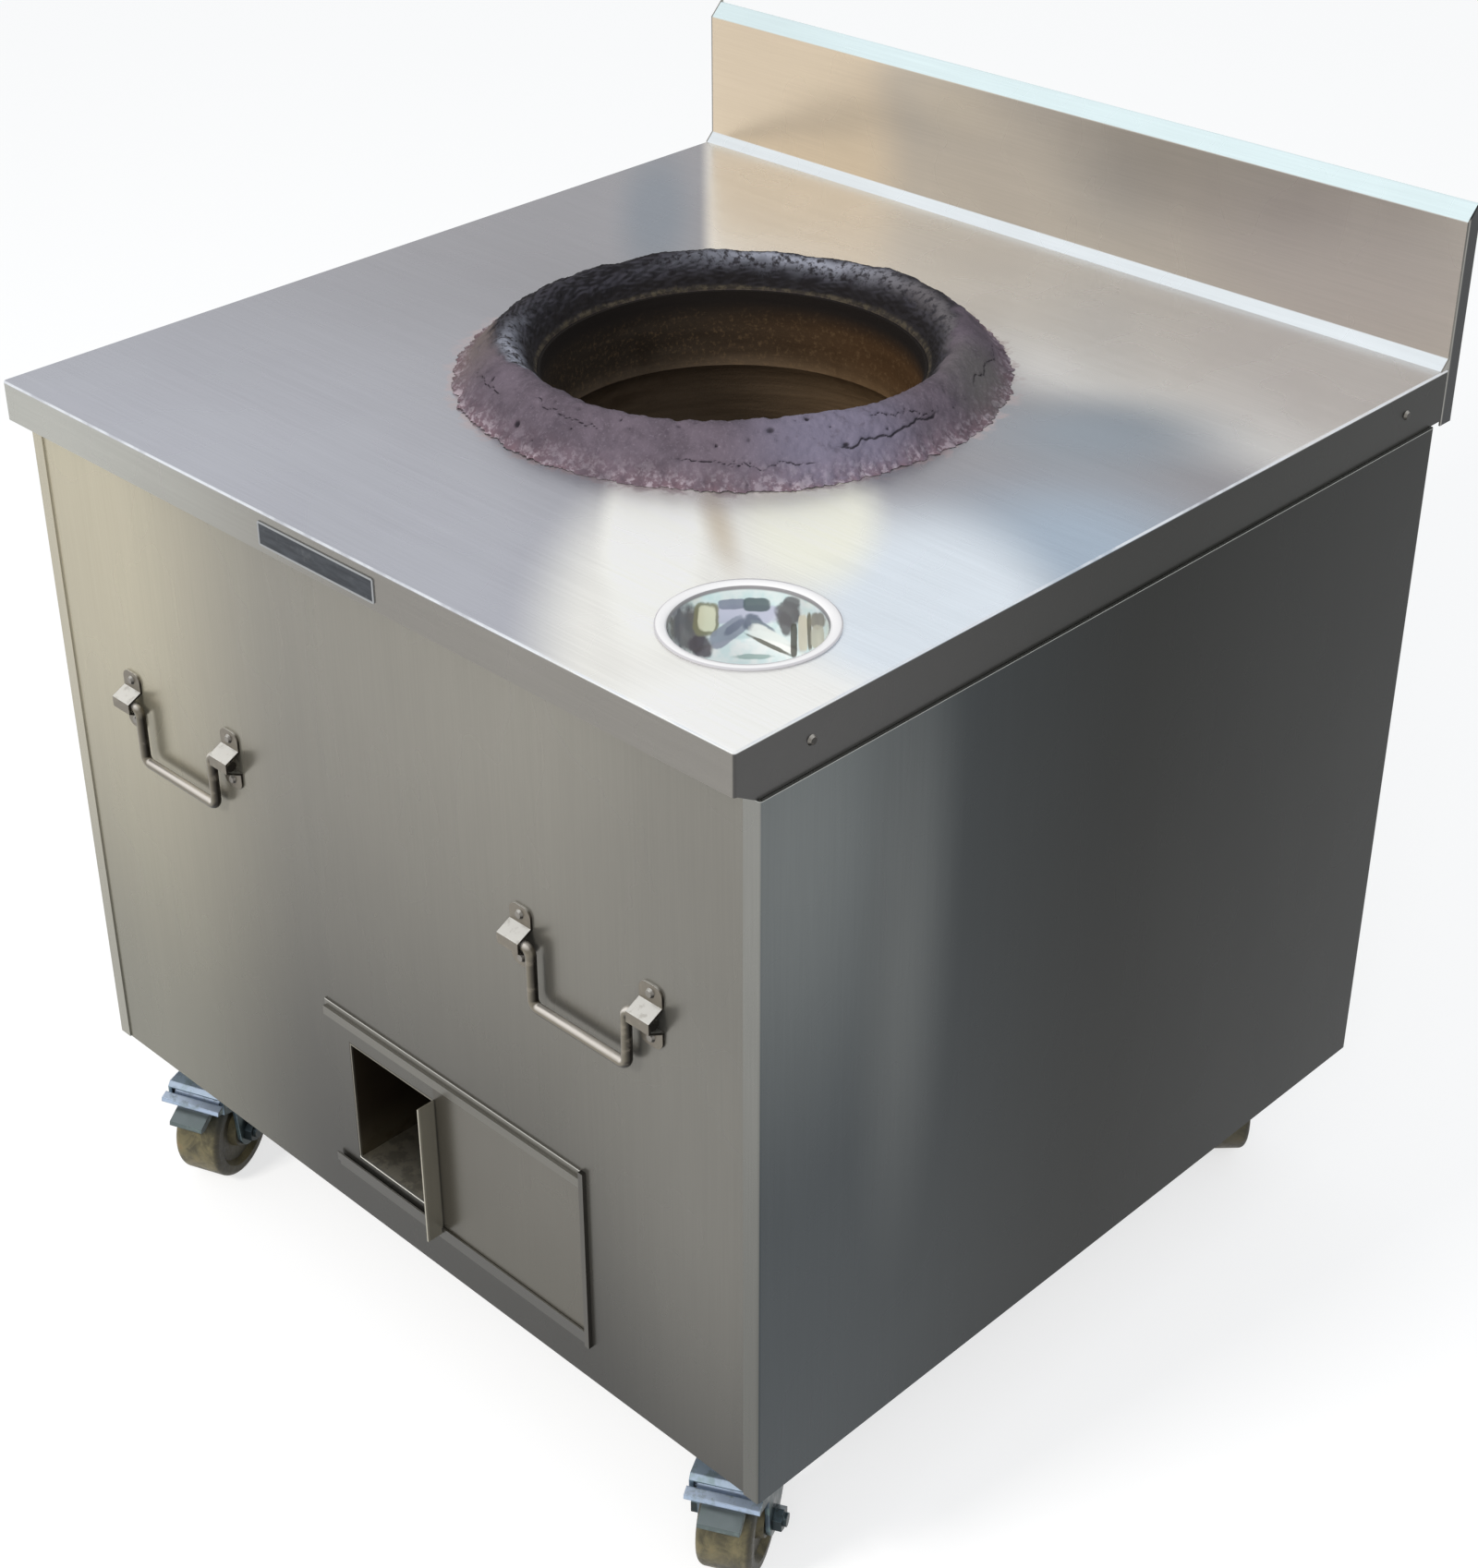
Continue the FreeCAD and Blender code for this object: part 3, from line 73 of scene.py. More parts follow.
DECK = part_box("worktop")[1].z
MOUTH = middle("mouth_collar")
BOWL = middle("water_bowl")
WORKTOP = [np.array(corner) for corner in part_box("worktop")]
PANEL_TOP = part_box("side_panel_right")[1].z
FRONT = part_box("front_panel")[0].y
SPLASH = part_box("splash_end_right")[1]  # the splash's top, and its back by the wall


# Settings


class TandoorSteel(bpy.types.PropertyGroup):
    """The folded stainless sheet."""

    gloss: FloatProperty(
        name="Roughness", description="How blurred the brushed sheet's reflections are", default=0.27, min=0.05, max=1
    )
    grain: FloatProperty(
        name="Grain", description="How strongly the brushed grain shows", default=0.03, min=0, max=1
    )


class TandoorClay(bpy.types.PropertyGroup):
    """The clay plastered round the mouth."""

    ragged: FloatProperty(
        name="Ragged edge", description="How far the skirt's edge wanders", default=0.0030, unit="LENGTH"
    )
    lumps: FloatProperty(
        name="Lumps", description="Height of the hand-smoothed lumps", default=0.0016, unit="LENGTH"
    )
    heap: FloatProperty(
        name="Heap", description="How much higher the crest stands on its high side", default=0.0055, unit="LENGTH"
    )
    pits: IntProperty(name="Pits", description="Number of small holes in the clay", default=150, min=0)
    clay: FloatVectorProperty(
        name="Clay",
        description="Colour of the dried clay",
        default=(0.125, 0.100, 0.124),
        subtype="COLOR",
        min=0,
        max=1,
    )


class TandoorStage(bpy.types.PropertyGroup):
    """The studio."""

    lens: FloatProperty(name="Lens", description="Focal length on a 36 mm sensor, in mm", default=61.21)
    key: FloatProperty(name="Key lamp", description="Power of the key lamp, in watts", default=80.0, min=0)
    sky: FloatProperty(name="Sky", description="Strength of the even light all round", default=0.62, min=0)


# Node trees


def srgb(red, green, blue):
    """A colour as it looks on a screen, 0 to 255, as linear RGBA."""
    screen = np.array([red, green, blue]) / 255
    linear = np.where(screen <= 0.04045, screen / 12.92, ((screen + 0.055) / 1.055) ** 2.4)
    return (*[float(value) for value in linear], 1.0)


class Finish:
    """One material's node tree. Each step adds nodes and returns the output to go on from."""

    def __init__(self, name, metal=0.0, roughness=0.5, specular=0.5):
        self.material = bpy.data.materials.new(name)
        self.material.use_nodes = True
        self.tree = self.material.node_tree
        self.shader = self.tree.nodes["Principled BSDF"]
        self.shader.inputs["Metallic"].default_value = metal
        self.shader.inputs["Roughness"].default_value = roughness
        self.shader.inputs["Specular IOR Level"].default_value = specular
        self.place = self.tree.nodes.new("ShaderNodeTexCoord").outputs["Object"]

    def put(self, kind, inputs=(), **settings):
        """A node with its settings. inputs holds (socket, value or output) pairs."""
        node = self.tree.nodes.new("ShaderNode" + kind)
        for key, value in settings.items():
            setattr(node, key, value)
        for socket, value in inputs:
            self.feed(node.inputs[socket], value)
        return node

    def feed(self, socket, value):
        if isinstance(value, bpy.types.NodeSocket):
            self.tree.links.new(value, socket)
        else:
            socket.default_value = value

    def calc(self, operation, first, second=0.0, clamp=False):
        node = self.put("Math", [(0, first), (1, second)], operation=operation, use_clamp=clamp)
        return node.outputs[0]

    def mix(self, amount, first, second, blend="MIX"):
        node = self.put(
            "Mix", [(0, amount), (6, first), (7, second)], data_type="RGBA", blend_type=blend, clamp_result=True
        )
        return node.outputs[2]

    def ease(self, value, start, stop, low=0.0, high=1.0):
        """Smoothly from low at start to high at stop, and level beyond them."""
        pairs = [(0, value), (1, start), (2, stop), (3, low), (4, high)]
        return self.put("MapRange", pairs, interpolation_type="SMOOTHSTEP").outputs[0]

    def axis(self, name, vector=None):
        split = self.put("SeparateXYZ", [(0, vector or self.place)])
        return split.outputs["XYZ".index(name)]

    def ramp(self, name, start, stop):
        """0 to 1 along one axis of the object."""
        return self.ease(self.axis(name), start, stop)

    def moved(self, centre=(0, 0, 0), turn=0.0, stretch=(1, 1, 1)):
        """The place seen from centre, turned about Z, with each axis divided by stretch."""
        pairs = [(1, centre), (2, (0, 0, math.radians(turn))), (3, stretch)]
        return self.put("Mapping", [(0, self.place), *pairs], vector_type="TEXTURE").outputs[0]

    def pool(self, centre, reach, turn=0.0, edge=0.0):
        """1 inside, falling smoothly to 0 at the ellipsoid about centre with half-axes reach."""
        length = self.put("VectorMath", [(0, self.moved(centre, turn, reach))], operation="LENGTH")
        return self.ease(length.outputs["Value"], edge, 1.0, 1.0, 0.0)

    def noise(self, scale, detail=3.0, rough=0.55, stretch=(1, 1, 1), centre=(0, 0, 0), warp=0.0):
        pairs = [(0, self.moved(centre, 0, stretch)), ("Scale", scale), ("Detail", detail)]
        pairs += [("Roughness", rough), ("Distortion", warp)]
        return self.put("TexNoise", pairs).outputs[0]

    def cells(self, scale, feature="F1", stretch=(1, 1, 1), vector=None):
        pairs = [("Vector", vector or self.moved((0, 0, 0), 0, stretch)), ("Scale", scale)]
        return self.put("TexVoronoi", pairs, feature=feature).outputs["Distance"]

    def bump(self, height, distance, strength=1.0, below=None):
        pairs = [("Strength", strength), ("Distance", distance), ("Height", height)]
        if below is not None:
            pairs.append(("Normal", below))
        return self.put("Bump", pairs).outputs[0]

    def facing(self, direction):
        """How squarely the surface faces a direction, from -1 to 1, in the object's frame."""
        length = math.sqrt(sum(step * step for step in direction))
        unit = tuple(step / length for step in direction)
        normal = self.tree.nodes.new("ShaderNodeTexCoord").outputs["Normal"]
        return self.put("VectorMath", [(0, normal), (1, unit)], operation="DOT_PRODUCT").outputs["Value"]

    def lit(self, dark, plain, bright):
        """Three tones by facing: painted shade where small metal would mirror what is below, a plain tone level, and
        a painted highlight where it would mirror the sky above.
        """
        facing = self.facing(SKYWARD)
        tone = self.mix(self.ease(facing, -0.45, 0.15), dark, plain)
        return self.mix(self.ease(facing, 0.25, 0.80), tone, bright)

    def softened(self, radius):
        """A normal that rounds the CAD edges off."""
        return self.put("Bevel", [("Radius", radius)]).outputs[0]

    def colour(self, output):
        self.feed(self.shader.inputs["Base Color"], output)

    def roughness(self, output):
        self.feed(self.shader.inputs["Roughness"], output)

    def normal(self, output):
        self.feed(self.shader.inputs["Normal"], output)


def paint(material, *names):
    """Gives CAD nodes a finish."""
    for name in names:
        slots = NODES[name].data.materials
        slots.clear()
        slots.append(material)


# Surfaces


def quads(rows, cols, around=True, closed=False):
    """The faces of a rows x cols grid of points. around joins the last column to the first, and
    closed joins the last row to the first."""
    row, col = np.meshgrid(
        np.arange(rows if closed else rows - 1), np.arange(cols if around else cols - 1), indexing="ij"
    )
    here, below = row * cols, (row + 1) % rows * cols
    beside = (col + 1) % cols
    return np.stack([here + col, here + beside, below + beside, below + col], -1).reshape(-1, 4)


def outwards(points, faces):
    """Turns a closed shell's faces round if its signed volume, a sixth of the sum of each
    triangle's corner triple products, is negative."""
    a, b, c, d = (points[faces[:, i]] for i in range(4))
    volume = np.einsum("ij,ij->i", a, np.cross(b, c)).sum() + np.einsum("ij,ij->i", a, np.cross(c, d)).sum()
    return faces if volume > 0 else faces[:, ::-1]


def turned(radius, height, count=96):
    """A profile of radius and height carried round the Z axis: x = r cos a, y = r sin a, z = h."""
    angle = np.linspace(0, 2 * np.pi, count, endpoint=False)
    radius, height = np.asarray(radius, float)[:, None], np.asarray(height, float)[:, None]
    points = np.stack([radius * np.cos(angle), radius * np.sin(angle), height + 0 * angle], -1)
    return points.reshape(-1, 3), quads(len(radius), count)


def build(name, shells, material, body, replaced=(), sharp=40.0):
    """One mesh object of closed shells (points, faces), merged, smooth but for sharp edges."""
    points, faces, start = [], [], 0
    for shell_points, shell_faces in shells:
        points.append(shell_points)
        faces.append(outwards(shell_points, shell_faces) + start)
        start += len(shell_points)
    points, faces = np.concatenate(points), np.concatenate(faces)
    unique, index = np.unique(np.round(points, 7), axis=0, return_inverse=True)
    faces = index.reshape(-1)[faces]
    whole = np.all(faces != np.roll(faces, 1, axis=1), axis=1)
    loops = [list(face) for face in faces[whole].tolist()]
    loops += [list(dict.fromkeys(face)) for face in faces[~whole].tolist()]
    mesh = bpy.data.meshes.new(name)
    mesh.from_pydata(unique.tolist(), [], [face for face in loops if len(face) > 2])
    mesh.shade_smooth()
    mesh.set_sharp_from_angle(angle=math.radians(sharp))
    mesh.materials.append(material)
    piece = bpy.data.objects.new(name, mesh)
    bpy.context.scene.collection.objects.link(piece)
    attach(piece, body)
    if replaced:
        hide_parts(*replaced)
    return piece


# Stage


def white_backdrop(tree, light, shown):
    """Mixes two shaders: light for what lights the object, shown for what is seen straight,
    in gloss or through glass."""
    path = tree.nodes.new("ShaderNodeLightPath")
    seen = path.outputs["Is Camera Ray"]
    for ray in ("Is Glossy Ray", "Is Transmission Ray"):
        either = tree.nodes.new("ShaderNodeMath")
        either.operation = "MAXIMUM"
        tree.links.new(seen, either.inputs[0])
        tree.links.new(path.outputs[ray], either.inputs[1])
        seen = either.outputs[0]
    mix = tree.nodes.new("ShaderNodeMixShader")
    tree.links.new(seen, mix.inputs[0])
    tree.links.new(light, mix.inputs[1])
    tree.links.new(shown, mix.inputs[2])
    return mix.outputs[0]


MIRRORED_SKY = 0.8


def build_world(strength):
    """An even sky that lights the object. It is white where it is seen and greyer where it is mirrored."""
    world = bpy.data.worlds.new("Studio")
    bpy.context.scene.world = world
    world.use_nodes = True
    tree = world.node_tree
    even = tree.nodes["Background"]
    even.inputs["Color"].default_value = (0.93, 0.965, 1.0, 1.0)
    even.inputs["Strength"].default_value = strength
    white = tree.nodes.new("ShaderNodeBackground")
    white.inputs["Color"].default_value = (1.0, 1.0, 1.0, 1.0)
    brightness = tree.nodes.new("ShaderNodeMapRange")
    brightness.inputs["To Min"].default_value = MIRRORED_SKY
    brightness.inputs["To Max"].default_value = 1.0
    path = tree.nodes.new("ShaderNodeLightPath")
    tree.links.new(path.outputs["Is Camera Ray"], brightness.inputs["Value"])
    tree.links.new(brightness.outputs[0], white.inputs["Strength"])
    both = white_backdrop(tree, even.outputs[0], white.outputs[0])
    tree.links.new(both, tree.nodes["World Output"].inputs["Surface"])


FLOOR_REACH = 30.0
FLOOR_GREY = 0.8  # what the floor gives back to the object
SEEN_GREY = 0.44  # the shaded part of the floor as it is seen
SEEN_LIFT = 0.66  # and how much it is lifted towards white


def build_floor():
    """A pale plain floor, lifted to white where it is seen, with the object's shadow kept."""
    reach = FLOOR_REACH
    mesh = bpy.data.meshes.new("Floor")
    corners = [(-reach, -reach, 0), (reach, -reach, 0), (reach, reach, 0), (-reach, reach, 0)]
    mesh.from_pydata(corners, [], [(0, 1, 2, 3)])
    floor = bpy.data.objects.new("Floor", mesh)
    bpy.context.scene.collection.objects.link(floor)
    material = bpy.data.materials.new("Pale floor")
    material.use_nodes = True
    tree = material.node_tree
    tree.nodes.remove(tree.nodes["Principled BSDF"])
    pale = tree.nodes.new("ShaderNodeBsdfDiffuse")
    pale.inputs["Color"].default_value = (FLOOR_GREY, FLOOR_GREY, FLOOR_GREY, 1)
    shade = tree.nodes.new("ShaderNodeBsdfDiffuse")
    shade.inputs["Color"].default_value = (SEEN_GREY, SEEN_GREY, SEEN_GREY, 1)
    lift = tree.nodes.new("ShaderNodeEmission")
    lift.inputs["Strength"].default_value = SEEN_LIFT
    both = tree.nodes.new("ShaderNodeAddShader")
    tree.links.new(shade.outputs[0], both.inputs[0])
    tree.links.new(lift.outputs[0], both.inputs[1])
    shown = white_backdrop(tree, pale.outputs[0], both.outputs[0])
    tree.links.new(shown, tree.nodes["Material Output"].inputs["Surface"])
    mesh.materials.append(material)


def add_lamp(name, place, aim, size, power, colour=(1, 1, 1)):
    """A soft square lamp that points at aim. Gloss doesn't show it, so the sheets mirror the white
    studio alone."""
    lamp = bpy.data.lights.new(name, "AREA")
    lamp.shape = "RECTANGLE"
    lamp.size, lamp.size_y = size
    lamp.energy = power
    lamp.color = colour
    thing = bpy.data.objects.new(name, lamp)
    bpy.context.scene.collection.objects.link(thing)
    thing.location = place
    thing.visible_glossy = False
    towards = np.array(aim, float) - np.array(place, float)
    level = math.hypot(towards[0], towards[1])
    tilt = math.atan2(level, -towards[2])
    thing.rotation_euler = (tilt, 0, math.atan2(towards[1], towards[0]) - math.pi / 2)


def build_stage(settings):
    """Camera at the photograph's place, even sky, pale floor and three soft lamps."""
    data = bpy.data.cameras.new("Camera")
    data.sensor_width = 36.0
    data.lens = settings.lens
    data.shift_x = 0.0491
    data.shift_y = -0.0381
    camera = bpy.data.objects.new("Camera", data)
    bpy.context.scene.collection.objects.link(camera)
    camera.location = (1.45735, -1.48032, 1.73840)
    camera.rotation_euler = Euler([math.radians(a) for a in (59.0989, 0.9150, 45.6591)])
    bpy.context.scene.camera = camera
    bpy.context.scene.view_settings.view_transform = "Standard"
    build_world(settings.sky)
    build_floor()
    add_lamp("Key", (-0.35, -3.25, 2.6), (0, 0, 0.5), (0.8, 0.8), settings.key, (1.0, 0.97, 0.92))
    add_lamp("Fill", (2.8, 0.4, 2.2), (0, 0, 0.5), (2.0, 2.0), settings.key * 0.12, (0.92, 0.96, 1.0))
    add_lamp("Front", (1.9, -2.1, 2.35), (0, 0, 0.8), (1.0, 1.0), settings.key * 0.22)


# Stainless sheet


def steel(name, ground, pools, settings, along="X", roughness=None, metal=1.0):
    """Brushed stainless. ground is a colour or a step that gives one, and pools are (mask, colour)
    laid over it in turn. The grain runs along one axis."""
    base = roughness or settings.gloss
    finish = Finish(name, metal=metal, roughness=base)
    tone = ground(finish) if callable(ground) else ground
    for mask, colour in pools:
        tone = finish.mix(mask(finish), tone, colour(finish) if callable(colour) else colour)
    stretch = [1.0, 1.0, 1.0]
    stretch["XYZ".index(along)] = 60.0
    streak = finish.noise(640.0, 2.0, 0.6, stretch)
    broad = finish.noise(70.0, 2.0, 0.5, stretch, (3, 1, 2))
    cloud = finish.noise(4.0, 2.0, 0.45, (1, 1, 1), (7, 2, 5))
    wipe = finish.noise(13.0, 2.0, 0.5, (1, 1, 1.5), (1, 9, 4), warp=0.5)
    shade = finish.ease(streak, 0.25, 0.75, 1 - settings.grain, 1 + settings.grain)
    for source, size in ((broad, 0.010), (cloud, 0.030), (wipe, 0.012)):
        shade = finish.calc("MULTIPLY", shade, finish.ease(source, 0.3, 0.7, 1 - size, 1 + size))
    grey = finish.put("CombineColor", [(0, shade), (1, shade), (2, shade)]).outputs[0]
    finish.colour(finish.mix(1.0, tone, grey, "MULTIPLY"))
    finish.roughness(finish.ease(wipe, 0.3, 0.7, base * 0.95, base * 1.06))
    dents = finish.bump(cloud, 0.0012, 0.3)
    finish.normal(finish.bump(streak, 0.00001, 0.3, dents))
    return finish.material


def deck_pool(across, away, half_across, half_away, colour, edge=0.0, turn=45.0):
    """A pool of painted reflection on the deck. Across runs from its left corner to its right one and away from its
    near corner to its far one."""
    x, y = (across - away) * math.sqrt(0.5), (across + away) * math.sqrt(0.5)
    return (lambda f: f.pool((x, y, DECK), (half_across, half_away, FAR), turn, edge), colour)


def mirrored_splash(f):
    """The part of the deck, at its back right, where the splash's reflection is painted."""
    across = f.calc("MULTIPLY", f.calc("ADD", f.axis("X"), f.axis("Y")), math.sqrt(0.5))
    return f.calc("MULTIPLY", f.ease(across, -0.024, -0.008), f.ramp("Y", 0.10, 0.20))


def below_deck(f):
    return f.ramp("Z", DECK - 0.0012, DECK - 0.0030)


def fold_shine(f):
    """The highlight along the deck's folded edges, broken by dull spots."""
    over, under = f.ramp("Z", DECK - 0.0001, DECK - 0.0005), f.ramp("Z", DECK - 0.0026, DECK - 0.0012)
    dull = f.ease(f.noise(38.0, 3.0, 0.6), 0.35, 0.6, 0.35, 0.95)
    return f.calc("MULTIPLY", f.calc("MULTIPLY", over, under), dull)


def flange_tone(f):
    """The deck's folded edges, in painted reflection and shade: warm and paler at the left of the front, painted dark
    at the right side.
    """
    warm = f.mix(f.ramp("X", -0.38, 0.10), srgb(168, 168, 162), srgb(126, 123, 118))
    side = f.mix(f.ramp("Y", -0.42, 0.05), srgb(74, 73, 72), srgb(34, 34, 31))
    left, right = WORKTOP[0][0], WORKTOP[1][0]
    both = f.mix(f.ramp("X", left + 0.0022, left + 0.0008), warm, srgb(166, 165, 160))
    return f.mix(f.ramp("X", right - 0.0022, right - 0.0008), both, side)


def side_lip_tone(f):
    """The side panels' returns over the front, in the front's painted reflection: warm at the left, cooler at the
    right, paler towards the top.
    """
    left = f.mix(f.ramp("Z", 0.15, 0.76), srgb(148, 146, 136), srgb(178, 172, 154))
    right = f.mix(f.ramp("Z", 0.15, 0.76), srgb(104, 104, 100), srgb(130, 130, 126))
    return f.mix(f.ramp("X", -0.1, 0.1), left, right)


def panel_edge(f):
    """The side panels' folded top edge, where a painted highlight goes."""
    return f.ramp("Z", PANEL_TOP - 0.0008, PANEL_TOP - 0.0001)


def clay_wash(f):
    """A faint irregular ring of dried slip on the deck, just past the collar's edge."""
    radius = f.put("VectorMath", [(0, f.moved((MOUTH[0], MOUTH[1], DECK), 0, (1, 1, FAR)))], operation="LENGTH")
    wander = f.ease(f.noise(55.0, 4.0, 0.65), 0.35, 0.65, -0.006, 0.008)
    return f.ease(f.calc("ADD", radius.outputs["Value"], wander), 0.232, 0.244, 0.75, 0.0)


def splash_foot(f):
    """The splash's sloping foot, on its front only, where a painted highlight goes."""
    low, ahead = f.ramp("Z", DECK + 0.0094, DECK + 0.0084), f.ramp("Y", SPLASH.y - 0.0015, SPLASH.y - 0.0025)
    return f.calc("MULTIPLY", low, ahead)


def dress_sheets(settings):
    """Tones the sheets with painted reflection and shade: the deck pale and cool with a painted warm glare towards
    the near corner, the front warm grey, the right side painted dark, the left side and the back plain grey, painted
    darker towards the bottom."""
    # Painted reflection on the deck: pale and cool at the front, greyer at the back, a painted dark strip at the back
    # left, the splash's painted reflection at the back right, cool pools and pools of painted glare towards the near
    # corner.
    deck = steel(
        "Deck steel",
        lambda f: f.mix(f.ramp("Y", -0.46, 0.12), srgb(183, 185, 194), srgb(158, 157, 162)),
        [
            deck_pool(-0.065, 0.39, 0.050, 0.26, srgb(136, 143, 153), 0.2),
            (mirrored_splash, lambda f: f.mix(f.ramp("X", -0.30, 0.20), srgb(246, 240, 230), srgb(232, 231, 230))),
            deck_pool(0.30, -0.13, 0.14, 0.11, srgb(154, 164, 175), 0.1),
            deck_pool(0.25, -0.33, 0.15, 0.18, srgb(172, 188, 205), 0.1),
            deck_pool(0.00, -0.45, 0.165, 0.36, srgb(244, 243, 238), 0.60),
            deck_pool(0.14, -0.45, 0.12, 0.24, srgb(234, 243, 252), 0.45),
            deck_pool(0.062, -0.27, 0.064, 0.15, srgb(255, 255, 240), 0.40),
            deck_pool(-0.058, -0.29, 0.046, 0.24, srgb(255, 255, 250), 0.60),
            deck_pool(-0.008, -0.29, 0.018, 0.11, srgb(216, 206, 190), 0.0, 52.0),
            deck_pool(0.01, -0.60, 0.15, 0.14, srgb(255, 255, 252), 0.50),
            (clay_wash, srgb(186, 172, 174)),
            (below_deck, flange_tone),
            (fold_shine, srgb(236, 240, 246)),
        ],
        settings,
        "X",
        metal=0.76,
    )
    paint(deck, "worktop")
    # Painted reflection and shade on the front: paler and warmer at the left and the top, darker towards the bottom
    # and the right, with a darker painted pool near the right corner.
    front = steel(
        "Front steel",
        lambda f: f.mix(
            f.ramp("X", -0.36, -0.08),
            f.mix(f.ramp("Z", 0.13, 0.80), srgb(117, 115, 104), srgb(177, 170, 149)),
            f.mix(f.ramp("Z", 0.10, 0.78), srgb(52, 51, 48), srgb(128, 125, 117)),
        ),
        [
            (lambda f: f.pool((0.40, 0, 0.55), (0.22, FAR, 0.60)), srgb(110, 108, 102)),
        ],
        settings,
        "Z",
        metal=0.6,
    )
    paint(front, "front_panel")
    # Painted shade on the right side: dark, darker towards the back, with paler painted reflections near the front
    # corner; its front return takes the front's painted tones, its top edge a painted highlight, and faces towards
    # the wall a plain grey.
    side = steel(
        "Side steel",
        lambda f: f.mix(f.ramp("Y", -0.42, 0.05), srgb(66, 71, 74), srgb(28, 29, 27)),
        [
            (lambda f: f.pool((0, -0.38, 0.74), (FAR, 0.20, 0.34)), srgb(103, 107, 107)),
            (lambda f: f.pool((0, -0.26, 0.60), (FAR, 0.07, 0.36)), srgb(88, 91, 91)),
            (lambda f: f.ramp("Y", FRONT + 0.0001, FRONT - 0.0011), side_lip_tone),
            (panel_edge, srgb(176, 178, 174)),
            (lambda f: f.ease(f.facing((0, 1, 0)), 0.6, 0.9), srgb(142, 141, 136)),
        ],
        settings,
        "Z",
    )
    paint(side, "side_panel_right")
    # Plain grey, painted darker towards the bottom as shade; the front returns and top edge as on the right side.
    far_sides = steel(
        "Far side steel",
        lambda f: f.mix(f.ramp("Z", 0.13, 0.80), srgb(132, 132, 128), srgb(176, 175, 168)),
        [
            (lambda f: f.ramp("Y", FRONT + 0.0001, FRONT - 0.0011), side_lip_tone),
            (panel_edge, srgb(176, 178, 174)),
        ],
        settings,
        "Z",
        metal=0.7,
    )
    paint(far_sides, "side_panel_left", "back_panel")
    # Painted reflection on the splash: warm glare at the left, greyer patches in the middle and at the right, a pale
    # painted reflection along the top and a painted highlight along the foot.
    splash = steel(
        "Splash steel",
        lambda f: f.mix(f.ramp("X", -0.23, -0.15), srgb(214, 197, 173), srgb(186, 177, 165)),
        [
            (lambda f: f.pool((0.08, 0, 0.91), (0.10, FAR, 0.08)), srgb(176, 169, 160)),
            (lambda f: f.pool((-0.12, 0, 0.95), (0.12, FAR, 0.05)), srgb(206, 194, 176)),
            (lambda f: f.pool((0.32, 0, 0.90), (0.24, FAR, 0.14), 0, 0.2), srgb(176, 167, 160)),
            (lambda f: f.ramp("Z", SPLASH.z - 0.0168, SPLASH.z - 0.0156), srgb(226, 243, 246)),
            (splash_foot, srgb(232, 239, 244)),
        ],
        settings,
        "X",
        metal=0.5,
    )
    paint(splash, "splashback")
    # The right end painted dark as shade and the left end pale; towards the front both take a plain grey.
    ends = steel(
        "Splash end steel",
        lambda f: f.mix(f.ramp("X", -0.1, 0.1), srgb(160, 158, 152), srgb(52, 53, 54)),
        [(lambda f: f.ramp("Y", SPLASH.y - 0.0130, SPLASH.y - 0.0155), srgb(150, 148, 142))],
        settings,
        "Z",
    )
    paint(ends, "splash_end_left", "splash_end_right")


# Draught hole and door


def sooty_floor_painted_light(f):
    """The sleeve's floor: painted light at its mouth, black with soot and painted shade further in."""
    return f.mix(f.ramp("Y", -0.405, -0.30), srgb(236, 230, 212), srgb(60, 50, 42))


def sleeve_edge(f):
    """The sleeve's cut edge in the front: a painted highlight along the bottom, duller up the sides."""
    return f.mix(f.ramp("Z", 0.202, 0.205), srgb(234, 232, 224), srgb(132, 128, 118))


